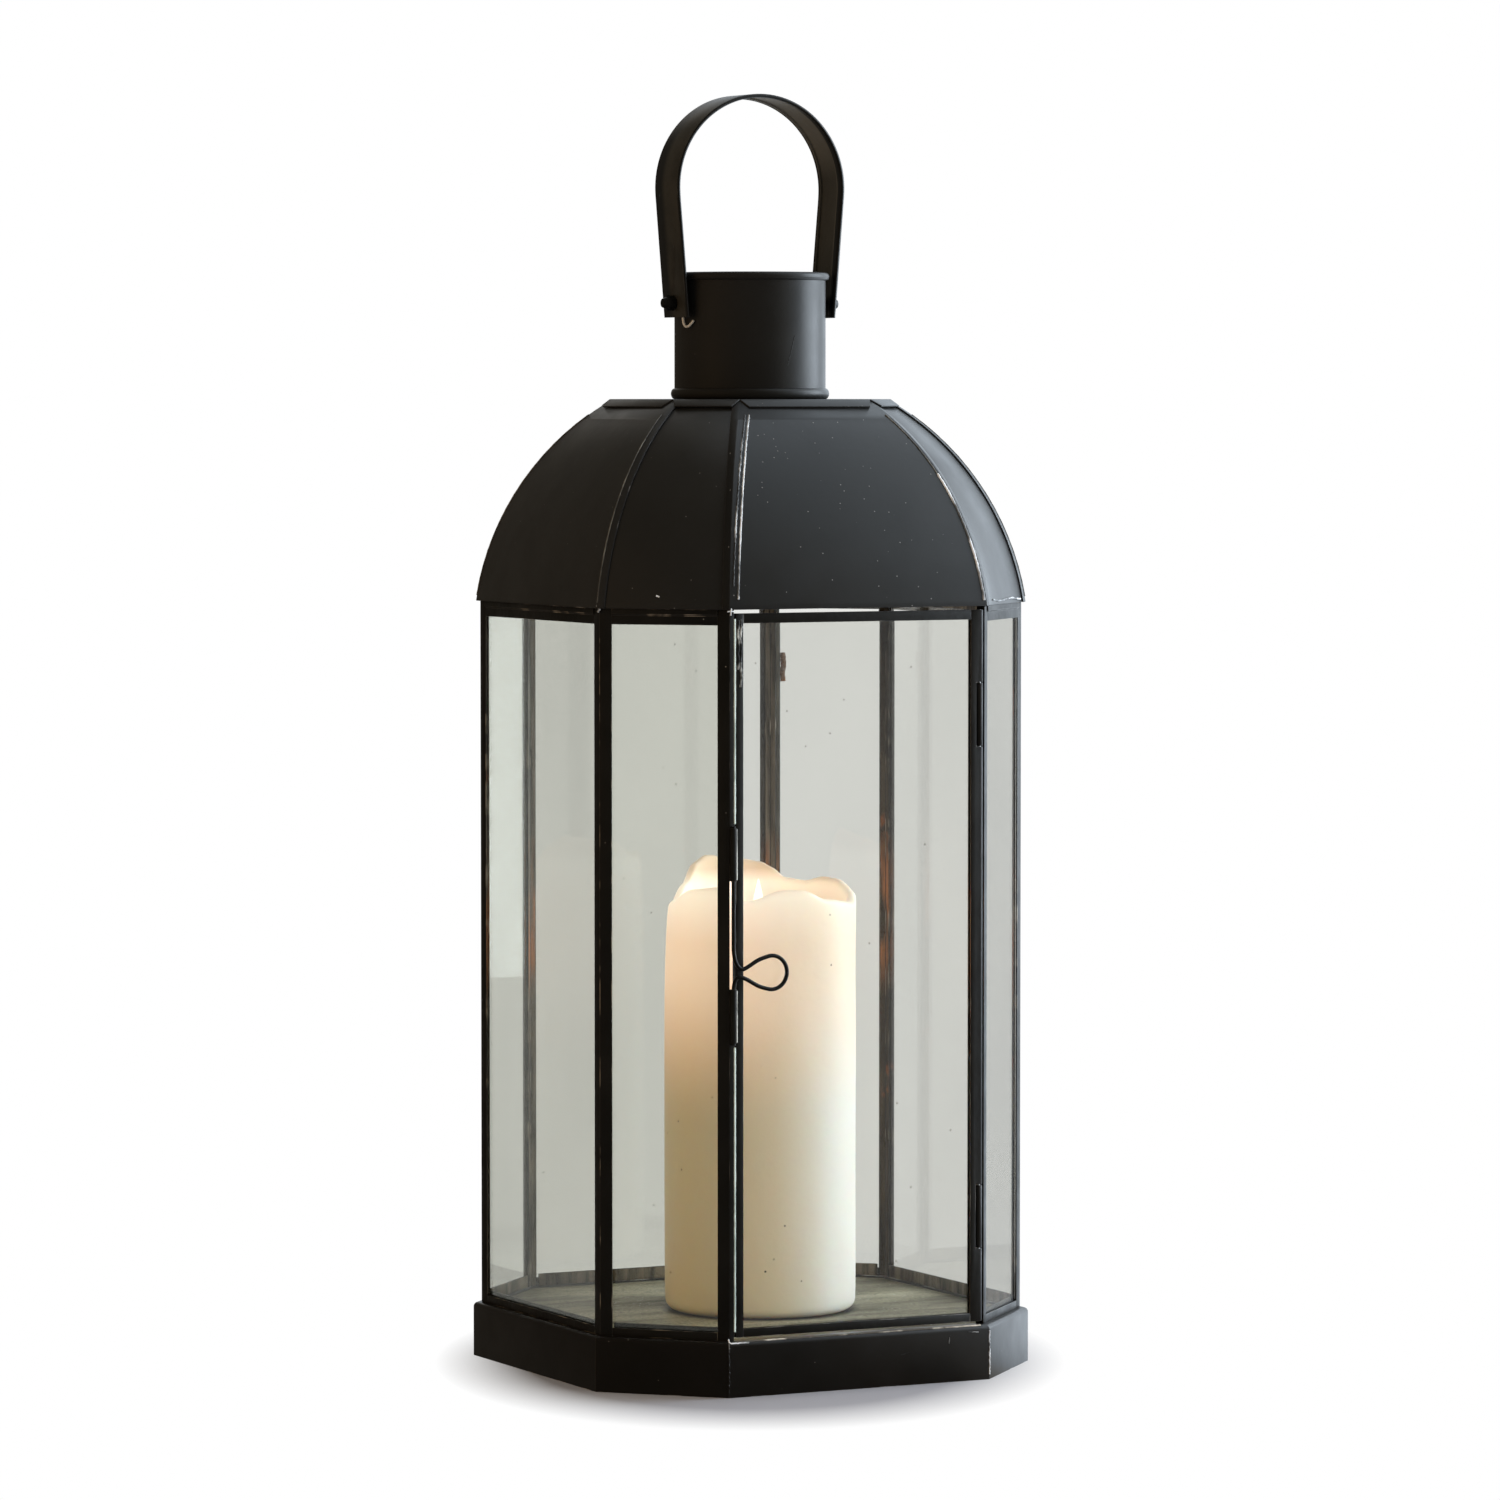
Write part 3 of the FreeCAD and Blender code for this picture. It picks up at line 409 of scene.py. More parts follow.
# The two panes on the left take a darker, yellower copy of the glass.
darker_left_glass = dusty_glass("darker_left_glass", (0.715, 0.722, 0.665), (0.655, 0.662, 0.610))
for node, plain in frame["nodes"].items():
    if node.startswith("pane") or node == "door_glass":
        plain.data.materials.clear()
        plain.data.materials.append(darker_left_glass if node in ("pane_left", "pane_front_left") else glass_finish)


# Door frame
# Four folded channels, mitred and soldered round one pane. The solder at the top of the latch stile ran
# down in drips before it was painted over.

door_finish = post_paint("door_paint", 0.0)
door_fold = worn_edge("door_fold", (0.016, 0.015, 0.014), (0.28, 0.27, 0.25), 0.05)
for node in ("door_latch_stile", "door_hinge_stile", "door_top_rail", "door_bottom_rail"):
    softened(node, FOLD, door_finish, door_fold)
# The drips are black, with white flecks painted on as glints.
drip_paint_and_glints = worn_edge("drip_paint_and_glints", (0.012, 0.012, 0.011), (0.60, 0.62, 0.60), 0.01, 0.0)
for number, (x, top, foot) in enumerate(((-0.0534, 0.3165, 0.2890), (-0.0545, 0.3160, 0.2960))):
    sway = [(x + 0.0003 * math.sin(2.4 * n), -0.0980, top + (foot - top) * n / 7) for n in range(8)]
    ragged(f"solder_drip_{number}", "door", sway, BROAD_LINE, 0.00025, drip_paint_and_glints)


# Hinge wire
# A straight steel wire pushed through the rolled edge of the door and the two knuckles of the post.
# It is drawn wire, left unpainted, and it turns with the door.

wire_finish, tree, shader = new_finish("drawn_wire")
drawn = clouds(tree, 900, 3, (1, 1, 0.05))
tree.links.new(tinted(tree, drawn, (0.36, 0.36, 0.36), (0.62, 0.62, 0.62)), shader.inputs["Base Color"])
shader.inputs["Metallic"].default_value = 1.0
tree.links.new(between(tree, drawn, 0.3, 0.7, 0.25, 0.45), shader.inputs["Roughness"])
frame["nodes"]["hinge_wire"].data.materials.clear()
frame["nodes"]["hinge_wire"].data.materials.append(wire_finish)


# Latch wire
# One soft iron wire, painted black. Its two legs turn in short tubes on the post, and between them it is
# bent out into a teardrop loop that lies over the stile and keeps the door shut.

wire_low, wire_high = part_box("latch_wire")
LATCH_WIRE = 0.0017
LATCH_AXIS = Vector((-0.0572, -0.0989, 0.1743))
STAND_OFF = 0.0010
LOOP_RADIUS = 0.0070
LOOP_CENTRE = 0.0169
LOOP_SAG = 0.0016
leg_top, leg_foot = wire_high.z - LATCH_AXIS.z, wire_low.z - LATCH_AXIS.z
loop_side = [(0.0, 0.0, leg_top), (0.0, 0.0, 0.030), (0.0, 0.0, 0.012), (0.0, 0.0, 0.0068),
             (0.0008, 0.0004, 0.0030), (0.0030, STAND_OFF, 0.0013), (0.0060, STAND_OFF, 0.0026),
             (0.0105, STAND_OFF, 0.0053)]
turns = [math.radians(115 - 23 * step) for step in range(11)]
loop_side += [(LOOP_CENTRE + LOOP_RADIUS * math.cos(a), STAND_OFF, LOOP_RADIUS * math.sin(a)) for a in turns]
loop_side += [(0.0105, STAND_OFF, -0.0053), (0.0060, STAND_OFF, -0.0026), (0.0030, STAND_OFF, -0.0013),
              (0.0009, 0.0005, -0.0028), (0.0, 0.0, -0.0066), (0.0, 0.0, -0.0100), (0.0, 0.0, leg_foot)]
# Past the bend the loop hangs a little below the middle of its legs.
BEND_REACH = 0.003
route = [LATCH_AXIS + Vector((x, -y, z - LOOP_SAG * min(1.0, x / BEND_REACH))) for x, y, z in loop_side]
latch_loop = bent_rod("latch_loop", route, LATCH_WIRE)
latch_paint = black_paint("latch_paint", (0.004, 0.004, 0.004), (0.009, 0.009, 0.008),
                          (0.12, 0.12, 0.12), 0.04, 0.2)
latch_loop.data.materials.append(latch_paint)
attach(latch_loop, "latch")
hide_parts("latch_wire")


# Roof panels
# Eight sheets curved one way. The four wide ones are folded along both edges, lapped over the narrow ones
# and soldered; the folds have rubbed to bright metal and dust has settled on the shoulders.

roof_paint = black_paint("roof_paint", (0.0140, 0.0146, 0.0142), (0.0200, 0.0206, 0.0202),
                         (0.16, 0.16, 0.16), 0.16)
# The front panel takes a darker copy of the paint, as painted shade, with more dust flecks.
dusty_shaded_roof = black_paint("dusty_shaded_roof_paint", (0.0080, 0.0083, 0.0080), (0.0125, 0.0129, 0.0124),
                         (0.26, 0.26, 0.26), 0.40)
ROOF_FOLD = 0.00022
roof_fold = worn_edge("roof_fold", (0.016, 0.016, 0.016), (0.40, 0.40, 0.41), 0.0)
for node in frame["nodes"]:
    if node.startswith("roof_panel"):
        softened(node, ROOF_FOLD, dusty_shaded_roof if node == "roof_panel_front" else roof_paint, roof_fold)

ROOF_ARC, ROOF_MIDDLE = 0.1172, 0.3033
SEAM_FOOT, SEAM_TOP = math.radians(9.5), math.radians(54.5)
# Place of a wide panel's corner, across and out, as shares of the roof's reach at that height.
CORNER_ACROSS, CORNER_OUT = 0.512, 0.859


def seam_bead(name, quarter, side, insets, stretch, thickness, rough, finish):
    """A bead of solder up one edge of a wide panel, so far in from the corner at its foot and at its top."""
    route = []
    for step in range(15):
        share = stretch[0] + (stretch[1] - stretch[0]) * step / 14
        rise = SEAM_FOOT + (SEAM_TOP - SEAM_FOOT) * share
        reach = ROOF_ARC * math.cos(rise)
        inset = insets[0] + (insets[1] - insets[0]) * share
        spot = Vector((side * (CORNER_ACROSS * reach - inset), -CORNER_OUT * reach,
                       ROOF_MIDDLE + ROOF_ARC * math.sin(rise)))
        spot.rotate(Quaternion((0, 0, 1), quarter * math.pi / 2))
        route.append(spot)
    ragged(name, "lantern", route, thickness, rough, finish)


seam_worn = worn_edge("seam_worn", (0.030, 0.030, 0.030), (0.62, 0.66, 0.70), 0.10, 0.1)
fold_line = worn_edge("fold_line", (0.055, 0.053, 0.046), (0.17, 0.165, 0.145), 0.14, 0.2)
SEAM_INSET = 0.0001
for quarter in (1, 2, 3):
    for side in (-1, 1):
        insets = (SEAM_INSET, SEAM_INSET)
        seam_bead(f"seam_{quarter}_{side}", quarter, side, insets, (0, 1), FINE_LINE, 0.00006, fold_line)
seam_bead("seam_front_inner", 0, -1, (0.0039, 0.0050), (0.02, 1), MEDIUM_LINE, 0.00018, solder)
seam_bead("seam_front_outer", 0, -1, (0.0014, 0.0032), (0.08, 1), MEDIUM_LINE, 0.00025, seam_worn)
HEAVY_LINE, THIN_LINE = 0.0011, 0.0007
seam_bead("seam_right_low", 0, 1, (0.0012, 0.0012), (0.0, 0.62), HEAVY_LINE, 0.00015, solder)
seam_bead("seam_right_high", 0, 1, (0.0012, 0.0014), (0.62, 1), FINE_LINE, 0.00012, fold_line)
eave = [(0.0590 + 0.0400 * share, -0.0990 + 0.0400 * share, 0.3222 + 0.0004 * math.sin(40 * share))
        for share in (0.18, 0.3, 0.42, 0.54, 0.66, 0.78, 0.9)]
ragged("eave_bead", "lantern", eave, THIN_LINE, 0.00030, solder)
speck = [(-0.0800, -0.0772, 0.3252), (-0.0804, -0.0768, 0.3256), (-0.0809, -0.0764, 0.3258)]
ragged("roof_speck", "lantern", speck, FINE_LINE, 0.00020, solder)


# Roof cap
# A flat eight-sided plate that closes the roof, with a tab folded down over each panel and a round hole
# for the chimney. Its folds are worn like those of the roof.

softened("roof_cap", FOLD, roof_paint, roof_fold)


# Chimney
# A strip rolled to a short open tube. A bead was rolled into its foot and its rim was curled outwards,
# so both read as round rings.

def turned(name, outline, steps):
    """A closed outline of (radius, height) points, spun about the lantern's axis."""
    bpy.ops.object.select_all(action="DESELECT")
    start = outline[0]
    bpy.ops.mesh.primitive_plane_add(size=0.001, location=(start[0], 0, start[1]))
    piece = bpy.context.object
    piece.name = name
    bpy.ops.object.transform_apply(location=True, rotation=True, scale=True)
    bpy.ops.object.mode_set(mode="EDIT")
    bpy.ops.mesh.select_all(action="SELECT")
    bpy.ops.mesh.merge(type="CENTER")
    for here, there in zip(outline, outline[1:]):
        step = (there[0] - here[0], 0, there[1] - here[1])
        bpy.ops.mesh.extrude_region_move(TRANSFORM_OT_translate={"value": step})
    bpy.ops.mesh.select_all(action="SELECT")
    bpy.ops.mesh.spin(steps=steps, angle=2 * math.pi, center=(0, 0, 0), axis=(0, 0, 1))
    bpy.ops.mesh.select_all(action="SELECT")
    bpy.ops.mesh.remove_doubles(threshold=TOUCHING)
    bpy.ops.mesh.normals_make_consistent(inside=False)
    bpy.ops.object.mode_set(mode="OBJECT")
    bpy.ops.object.shade_smooth_by_angle(angle=math.radians(35))
    return piece


def bead(radius, proud, foot, top, points):
    """Half-round ring that stands proud of a wall, from its foot up."""
    turns = [math.pi * step / points for step in range(points + 1)]
    middle, half = (foot + top) / 2, (top - foot) / 2
    return [(radius + proud * math.sin(a), middle - half * math.cos(a)) for a in turns]


tube_low, tube_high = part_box("chimney")
BEAD_PROUD, FOOT_BEAD, RIM_BEAD, SHEET = 0.0015, 0.0045, 0.0034, 0.0007
wall = tube_high.x - BEAD_PROUD
bore = wall - SHEET
foot_bead = bead(wall, BEAD_PROUD, tube_low.z, tube_low.z + FOOT_BEAD, 8)
rim_bead = bead(wall, BEAD_PROUD, tube_high.z - RIM_BEAD, tube_high.z, 8)
tube_outline = [(bore, tube_low.z)] + foot_bead + rim_bead + [(bore, tube_high.z), (bore, tube_low.z)]
chimney_tube = turned("chimney_tube", tube_outline, 128)
chimney_paint = black_paint("chimney_paint", (0.0128, 0.0127, 0.0120), (0.0176, 0.0174, 0.0165),
                            (0.14, 0.14, 0.14), 0.05, 0.20)
chimney_tube.data.materials.append(chimney_paint)
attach(chimney_tube, "lantern")
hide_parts("chimney")
scratch = []
for turn, drop in ((9.2, 0.0265), (7.0, 0.0310), (5.0, 0.0350), (2.9, 0.0390)):
    a = math.radians(turn)
    scratch.append((wall * math.sin(a), -wall * math.cos(a), tube_high.z - drop))
ragged("chimney_scratch", "lantern", scratch, HAIRLINE, 0.00010, chipped)


# Handle
# A sheet strap with both long edges hemmed, bent to an arch and hung on two hexagon bolts through the
# chimney wall. A scrap of thin wire is hooked beside the left nut.

PIVOT_Z, ARCH_CENTRE, ARCH_RADIUS = 0.4453, 0.4935, 0.03845
strap_paint, tree, shader = new_finish("strap_paint")
where = tree.nodes.new("ShaderNodeTexCoord")
across = tree.nodes.new("ShaderNodeSeparateXYZ")
tree.links.new(where.outputs["Object"], across.inputs["Vector"])
spoke = tree.nodes.new("ShaderNodeVectorMath")
spoke.operation = "SUBTRACT"
spoke.inputs[1].default_value = (0, 0, ARCH_CENTRE)
tree.links.new(where.outputs["Object"], spoke.inputs[0])
outward = tree.nodes.new("ShaderNodeVectorMath")
outward.operation = "DOT_PRODUCT"
tree.links.new(spoke.outputs[0], outward.inputs[0])
tree.links.new(where.outputs["Normal"], outward.inputs[1])
inner = between(tree, outward.outputs["Value"], 0.004, -0.004)
outer = between(tree, inner, 0, 1, 1.0, 0.0)
# The hems are black and the sheet between them is thinly painted, with a painted highlight as a bright line
# along the inner hem.
thinned = between(tree, clouds(tree, 70, 5), 0.3, 0.7)
face = tinted(tree, thinned, (0.017, 0.0165, 0.0135), (0.036, 0.0345, 0.0285))
INNER_HEM, OUTER_HEM = (-0.0050, -0.0056), (0.0015, 0.0050)
inner_hem = arithmetic(tree, "MULTIPLY", inner, between(tree, across.outputs["Y"], *INNER_HEM))
outer_hem = arithmetic(tree, "MULTIPLY", outer, between(tree, across.outputs["Y"], *OUTER_HEM))
face = tinted(tree, between(tree, inner, 0, 1, 0.0, 0.7), face, (0.062, 0.060, 0.051))
# Under the top of the arch the inner face is painted lighter, as a painted reflection.
UNDER_ARCH = (0.498, 0.526)
painted_arch_reflection = arithmetic(tree, "MULTIPLY", inner, between(tree, across.outputs["Z"], *UNDER_ARCH))
face = tinted(tree, painted_arch_reflection, face, (0.20, 0.19, 0.16))
face = tinted(tree, arithmetic(tree, "ADD", inner_hem, outer_hem), face, (0.0045, 0.0042, 0.0036))
LINE_OUTSIDE, LINE_INSIDE = (-0.0058, -0.0054), (-0.0049, -0.0053)
painted_hem_highlight = arithmetic(tree, "MULTIPLY", between(tree, across.outputs["Y"], *LINE_OUTSIDE),
                      between(tree, across.outputs["Y"], *LINE_INSIDE))
face = tinted(tree, arithmetic(tree, "MULTIPLY", painted_hem_highlight, inner), face, (0.16, 0.155, 0.14))
tree.links.new(face, shader.inputs["Base Color"])
shader.inputs["Roughness"].default_value = 0.38
shader.inputs["Specular IOR Level"].default_value = 0.32
uneven(tree, shader, clouds(tree, 300, 3), 0.00003)
strap_fold = worn_edge("strap_fold", (0.010, 0.0095, 0.0085), (0.24, 0.22, 0.19), 0.04)
softened("handle_strap", FOLD, strap_paint, strap_fold)
for side in ("left", "right"):
    softened(f"handle_bolt_{side}", FOLD, latch_paint, strap_fold)

# The hems are rolled over to round edges.
HEM_THICKNESS, HEM_SIDE = 0.0016, 0.0101
hem_paint = black_paint("hem_paint", (0.0045, 0.0042, 0.0036), (0.0085, 0.0080, 0.0068),
                        (0.16, 0.15, 0.14), 0.04)
leg = [(0.03415, PIVOT_Z - 0.0058), (0.0352, PIVOT_Z + 0.0080), (0.0365, PIVOT_Z + 0.0240),
       (0.0377, PIVOT_Z + 0.0380)]
arch = [(ARCH_RADIUS * math.cos(a), ARCH_CENTRE + ARCH_RADIUS * math.sin(a))
        for a in (math.radians(-4.7 + 189.4 * n / 24) for n in range(25))]
hem_line = leg + arch + [(-x, z) for x, z in reversed(leg)]
for side, y in (("front", -HEM_SIDE), ("back", HEM_SIDE)):
    hem = bent_rod(f"strap_hem_{side}", [(x, y, z) for x, z in hem_line], HEM_THICKNESS)
    hem.data.materials.append(hem_paint)
    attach(hem, "handle")

HOOK_INSET, HOOK_THICKNESS = 0.0004, 0.0011
hook_low, hook_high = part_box("pivot_wire")
hook_x, hook_y = hook_low.x + HOOK_INSET, hook_high.y - HOOK_INSET
hook_route = [(hook_x, hook_y, hook_high.z), (hook_x, hook_y, 0.4420), (hook_x, hook_y, 0.4388),
              (hook_x + 0.0001, hook_y - 0.0008, 0.4362), (hook_x + 0.0003, hook_y - 0.0028, 0.4352),
              (hook_x + 0.0009, hook_y - 0.0050, 0.4360), (hook_x + 0.0018, -0.0096, 0.4380)]
hook = bent_rod("wire_hook", hook_route, HOOK_THICKNESS)
hook_finish, tree, shader = new_finish("bright_wire")
hook_colour = tinted(tree, clouds(tree, 500, 3), (0.52, 0.50, 0.45), (0.85, 0.83, 0.78))
tree.links.new(hook_colour, shader.inputs["Base Color"])
shader.inputs["Metallic"].default_value = 0.25
shader.inputs["Roughness"].default_value = 0.35
hook.data.materials.append(hook_finish)
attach(hook, "lantern")
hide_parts("pivot_wire")


# Candle
# A cream pillar candle, burnt down in the middle. Heat has slumped its rim into peaks and dips, highest at
# the back, and the flame lights the wax from inside, so it glows at the top and is duller below.

VIEW_TURN = math.radians(-26.7)
view_right = Vector((math.cos(VIEW_TURN), math.sin(VIEW_TURN), 0))
view_front = Vector((math.sin(VIEW_TURN), -math.cos(VIEW_TURN), 0))
wax_centre = Vector(((wax_low.x + wax_high.x) / 2, (wax_low.y + wax_high.y) / 2, 0))
WAX_RADIUS = (wax_high.x - wax_low.x) / 2
wax_height = wax_high.z - wax_low.z
# Drop of the rim below its peak, in millimetres, by degrees round from the front.
RIM_DROP = [
    (-180, 3.4), (-160, 1.5), (-138, 0.0), (-128, 2.6), (-116, 11.0), (-98, 17.5), (-76, 18.0), (-44, 10.8),
    (-27, 9.6), (-8, 15.0), (14, 10.6), (26, 10.8), (46, 15.2), (74, 17.2), (96, 14.0), (124, 9.6),
    (134, 9.2), (148, 11.2), (163, 10.2), (172, 6.0), (180, 3.4),
]


def rim_drop(degrees):
    """Drop of the rim at any turn, eased from point to point."""
    for (a, low), (b, high) in zip(RIM_DROP, RIM_DROP[1:]):
        if a <= degrees <= b:
            share = (degrees - a) / (b - a)
            share = share * share * (3 - 2 * share)
            return (low + (high - low) * share) / 1000
    return RIM_DROP[0][1] / 1000


WAX_FOOT_EASE = 0.005
POOL_DEPTH = 0.031
wax_wall = [(WAX_RADIUS - WAX_FOOT_EASE, 0.0)]
wax_wall += [(WAX_RADIUS - WAX_FOOT_EASE * (1 - math.sin(a)), WAX_FOOT_EASE * (1 - math.cos(a)))
             for a in (0.4, 0.8, 1.2, 1.57)]
wax_wall += [(WAX_RADIUS, wax_height * share) for share in (0.2, 0.4, 0.55, 0.7, 0.8, 0.87, 0.93, 0.97)]
LIP_ROUND = 0.0022
wax_lip = [(WAX_RADIUS - LIP_ROUND * (1 - math.cos(a)), wax_height - LIP_ROUND * (1 - math.sin(a)))
           for a in (0.0, 0.5, 1.0, 1.57, 2.1, 2.6)]
BOWL = ((0.87, 0.28), (0.8, 0.5), (0.7, 0.7), (0.55, 0.87), (0.38, 0.96), (0.2, 1.0), (0.0, 1.0))
wax_bowl = [(WAX_RADIUS * out, wax_height - POOL_DEPTH * depth) for out, depth in BOWL]
pillar = turned("wax_pillar", [(0.0, 0.0)] + wax_wall + wax_lip + wax_bowl, 120)
# The slump starts at this share of the height; the lip leans in towards one side, and the wall wobbles.
SLUMP_START, POOL_RADIUS = 0.55, WAX_RADIUS * 0.8
LEAN, LEAN_TURN = 0.10, 150
WOBBLE, WOBBLE_PER_METRE = 0.00035, 60
for vertex in pillar.data.vertices:
    place = vertex.co.copy()
    out = math.hypot(place.x, place.y)
    turn = math.degrees(math.atan2(place.x, -place.y)) if out > 1e-6 else 0.0
    share = place.z / wax_height
    settle = max(0.0, (share - SLUMP_START) / (1 - SLUMP_START))
    drop = rim_drop(turn) * settle * settle * (3 - 2 * settle)
    rim_share = min(1.0, out / POOL_RADIUS)
    if out < POOL_RADIUS:
        drop *= rim_share * rim_share
        drop = min(drop, 0.6 * drop + 0.002)
    lean = 1.0 - LEAN * settle ** 6 * max(0.0, math.cos(math.radians(turn + LEAN_TURN)))
    wobble = WOBBLE * noise.noise(place * WOBBLE_PER_METRE) * (1 if share > 0.02 else 0)
    stretch = lean * (1 + wobble / WAX_RADIUS) if out > 1e-6 else 1.0
    sideways = (view_right * place.x - view_front * place.y) * stretch
    vertex.co = wax_centre + sideways + Vector((0, 0, wax_low.z + place.z - drop))


def smoothed(piece):
    """One round of subdivision on the piece that was just made."""
    smooth = piece.modifiers.new("smooth", "SUBSURF")
    smooth.levels = smooth.render_levels = 1
    bpy.ops.object.modifier_apply(modifier=smooth.name)
    bpy.ops.object.shade_smooth()


smoothed(pillar)
# Heights where the glow begins and is full, where it has turned pale at the rim, and of the peak behind.
GLOW_FOOT, GLOW_TOP, PALE_TOP = 0.098, 0.178, 0.198
PEAK_FOOT, FADE_FOOT, PEAK_TOP = 0.1985, 0.2005, 0.206
wax_finish, tree, shader = new_finish("lit_wax")
height = tree.nodes.new("ShaderNodeSeparateXYZ")
tree.links.new(place_on_piece(tree), height.inputs["Vector"])
rise = between(tree, height.outputs["Z"], GLOW_FOOT, GLOW_TOP)
ease = between(tree, rise, 0, 1, 3.0, 1.0)
glow = arithmetic(tree, "MULTIPLY", arithmetic(tree, "MULTIPLY", rise, rise), ease)
# The wax is painted yellower and darker on the side away from the window lamp and paler on the side facing
# it: painted shade and light.
lateral = tree.nodes.new("ShaderNodeVectorMath")
lateral.operation = "DOT_PRODUCT"
lateral.inputs[1].default_value = view_right
tree.links.new(place_on_piece(tree), lateral.inputs[0])
middle = wax_centre.dot(view_right)
wax_and_painted_light = tinted(tree, between(tree, lateral.outputs["Value"], middle - 0.030, middle + 0.006),
                    (0.86, 0.70, 0.42), (0.89, 0.77, 0.56))
painted_lit_side = between(tree, lateral.outputs["Value"], middle + 0.006, middle + 0.030)
wax_and_painted_light = tinted(tree, painted_lit_side, wax_and_painted_light, (0.93, 0.90, 0.84))
# Where the painted glow is, the wax is painted paler.
wax_and_painted_light = tinted(tree, glow, wax_and_painted_light, (0.86, 0.76, 0.62))
# The peak behind is painted a darker orange, and the painted glow is turned down there.
back_peak = between(tree, height.outputs["Z"], PEAK_FOOT, PEAK_TOP)
wax_and_painted_light = tinted(tree, back_peak, wax_and_painted_light, (0.80, 0.60, 0.43))
wax_and_painted_light = tinted(tree, flecks(tree, 130, 0.075, 0.10), wax_and_painted_light, (0.05, 0.04, 0.03))
tree.links.new(wax_and_painted_light, shader.inputs["Base Color"])
shader.inputs["Subsurface Weight"].default_value = 0.35
shader.inputs["Subsurface Radius"].default_value = (1.0, 0.55, 0.3)
shader.inputs["Subsurface Scale"].default_value = 0.012
shader.inputs["Roughness"].default_value = 0.42
shader.inputs["Specular IOR Level"].default_value = 0.35
# The glow is painted on as emission, stronger on the side away from the window lamp and weaker on the side
# facing it.
glow_colour = tinted(tree, glow, (1.0, 0.42, 0.17), (1.0, 0.67, 0.47))
near_rim = between(tree, height.outputs["Z"], GLOW_TOP, PALE_TOP)
tree.links.new(tinted(tree, near_rim, glow_colour, (1.0, 0.89, 0.78)), shader.inputs["Emission Color"])
strength = arithmetic(tree, "MULTIPLY", between(tree, glow, 0, 1, 0.0, 0.62),
                      between(tree, lateral.outputs["Value"], middle - 0.030, middle + 0.008, 1.30, 0.70))
strength = arithmetic(tree, "MULTIPLY", strength,
                      between(tree, lateral.outputs["Value"], middle + 0.006, middle + 0.026, 1.0, 0.66))
strength = arithmetic(tree, "ADD", strength, between(tree, near_rim, 0, 1, 0.0, 0.16))
fading = between(tree, height.outputs["Z"], FADE_FOOT, PEAK_TOP, 0.0, 0.48)
strength = arithmetic(tree, "SUBTRACT", strength, fading)
tree.links.new(strength, shader.inputs["Emission Strength"])
uneven(tree, shader, clouds(tree, 120, 4), 0.0003)
pillar.data.materials.append(wax_finish)
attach(pillar, "lantern")
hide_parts("candle")


# Wick and flame
# A plaited cotton wick, charred where it stands out of the pool, under a small steady flame.
# Its tip curls over a little where it burns.

wick_low, wick_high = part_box("candle_wick")
wick_top = Vector(((wick_low.x + wick_high.x) / 2, (wick_low.y + wick_high.y) / 2, wick_high.z))
wick_bend = [(0, 0, 0.018), (0, 0, 0.014), (0, 0, 0.009), (0.0002, 0, 0.004), (0.0012, 0.0003, 0)]
wick_route = [wick_top - Vector(step) for step in wick_bend]
WICK_THICKNESS = 0.0020
wick = bent_rod("wick_cord", wick_route, WICK_THICKNESS)
wick_finish, tree, shader = new_finish("charred_cotton")
plait = tree.nodes.new("ShaderNodeTexWave")
plait.inputs["Scale"].default_value = 320
plait.inputs["Distortion"].default_value = 2
tree.links.new(place_on_piece(tree, (1, 1, 1.4)), plait.inputs["Vector"])
char = tinted(tree, plait.outputs["Fac"], (0.012, 0.010, 0.009), (0.07, 0.05, 0.035))
tree.links.new(char, shader.inputs["Base Color"])
shader.inputs["Roughness"].default_value = 0.9
uneven(tree, shader, plait.outputs["Fac"], 0.0003)
wick.data.materials.append(wick_finish)
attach(wick, "lantern")
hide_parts("candle_wick")

FLAME_HEIGHT, FLAME_SHIFT, FLAME_SINK = 0.0165, 0.0010, 0.004
flame_side = [(0.0, 0.0), (0.0014, 0.0008), (0.0024, 0.0028), (0.0026, 0.0052), (0.0020, 0.0090),
              (0.0010, 0.0130), (0.0003, 0.0158), (0.0, FLAME_HEIGHT)]
flame = turned("candle_flame", flame_side, 24)
flame_foot = wick_top - view_right * FLAME_SHIFT - Vector((0, 0, FLAME_SINK))
for vertex in flame.data.vertices:
    vertex.co += flame_foot
smoothed(flame)
flame_finish, tree, shader = new_finish("flame_light")
rise = tree.nodes.new("ShaderNodeSeparateXYZ")
tree.links.new(place_on_piece(tree), rise.inputs["Vector"])
hot = between(tree, rise.outputs["Z"], flame_foot.z, flame_foot.z + FLAME_HEIGHT)
tree.links.new(tinted(tree, hot, (1.0, 0.80, 0.45), (1.0, 0.93, 0.78)), shader.inputs["Emission Color"])
shader.inputs["Emission Strength"].default_value = 2.5
shader.inputs["Base Color"].default_value = (0.1, 0.06, 0.03, 1)
shader.inputs["Roughness"].default_value = 1.0
flame.data.materials.append(flame_finish)
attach(flame, "lantern")


# Stage
# A pale floor that keeps the lantern's shadow, a broad cool lamp on the right, soft ones overhead, in front
# and on the left, and a white room. The camera stands where the photograph was taken from.

bpy.context.scene.view_settings.view_transform = "Standard"

bpy.ops.object.select_all(action="DESELECT")
FLOOR_SIZE = 14
bpy.ops.mesh.primitive_plane_add(size=FLOOR_SIZE)
studio_floor = bpy.context.object
studio_floor.name = "studio_floor"
floor_paint, tree, shader = new_finish("studio_floor_paint")
shader.inputs["Base Color"].default_value = (0.445, 0.455, 0.51, 1)
shader.inputs["Roughness"].default_value = 0.9
shader.inputs["Specular IOR Level"].default_value = 0.0
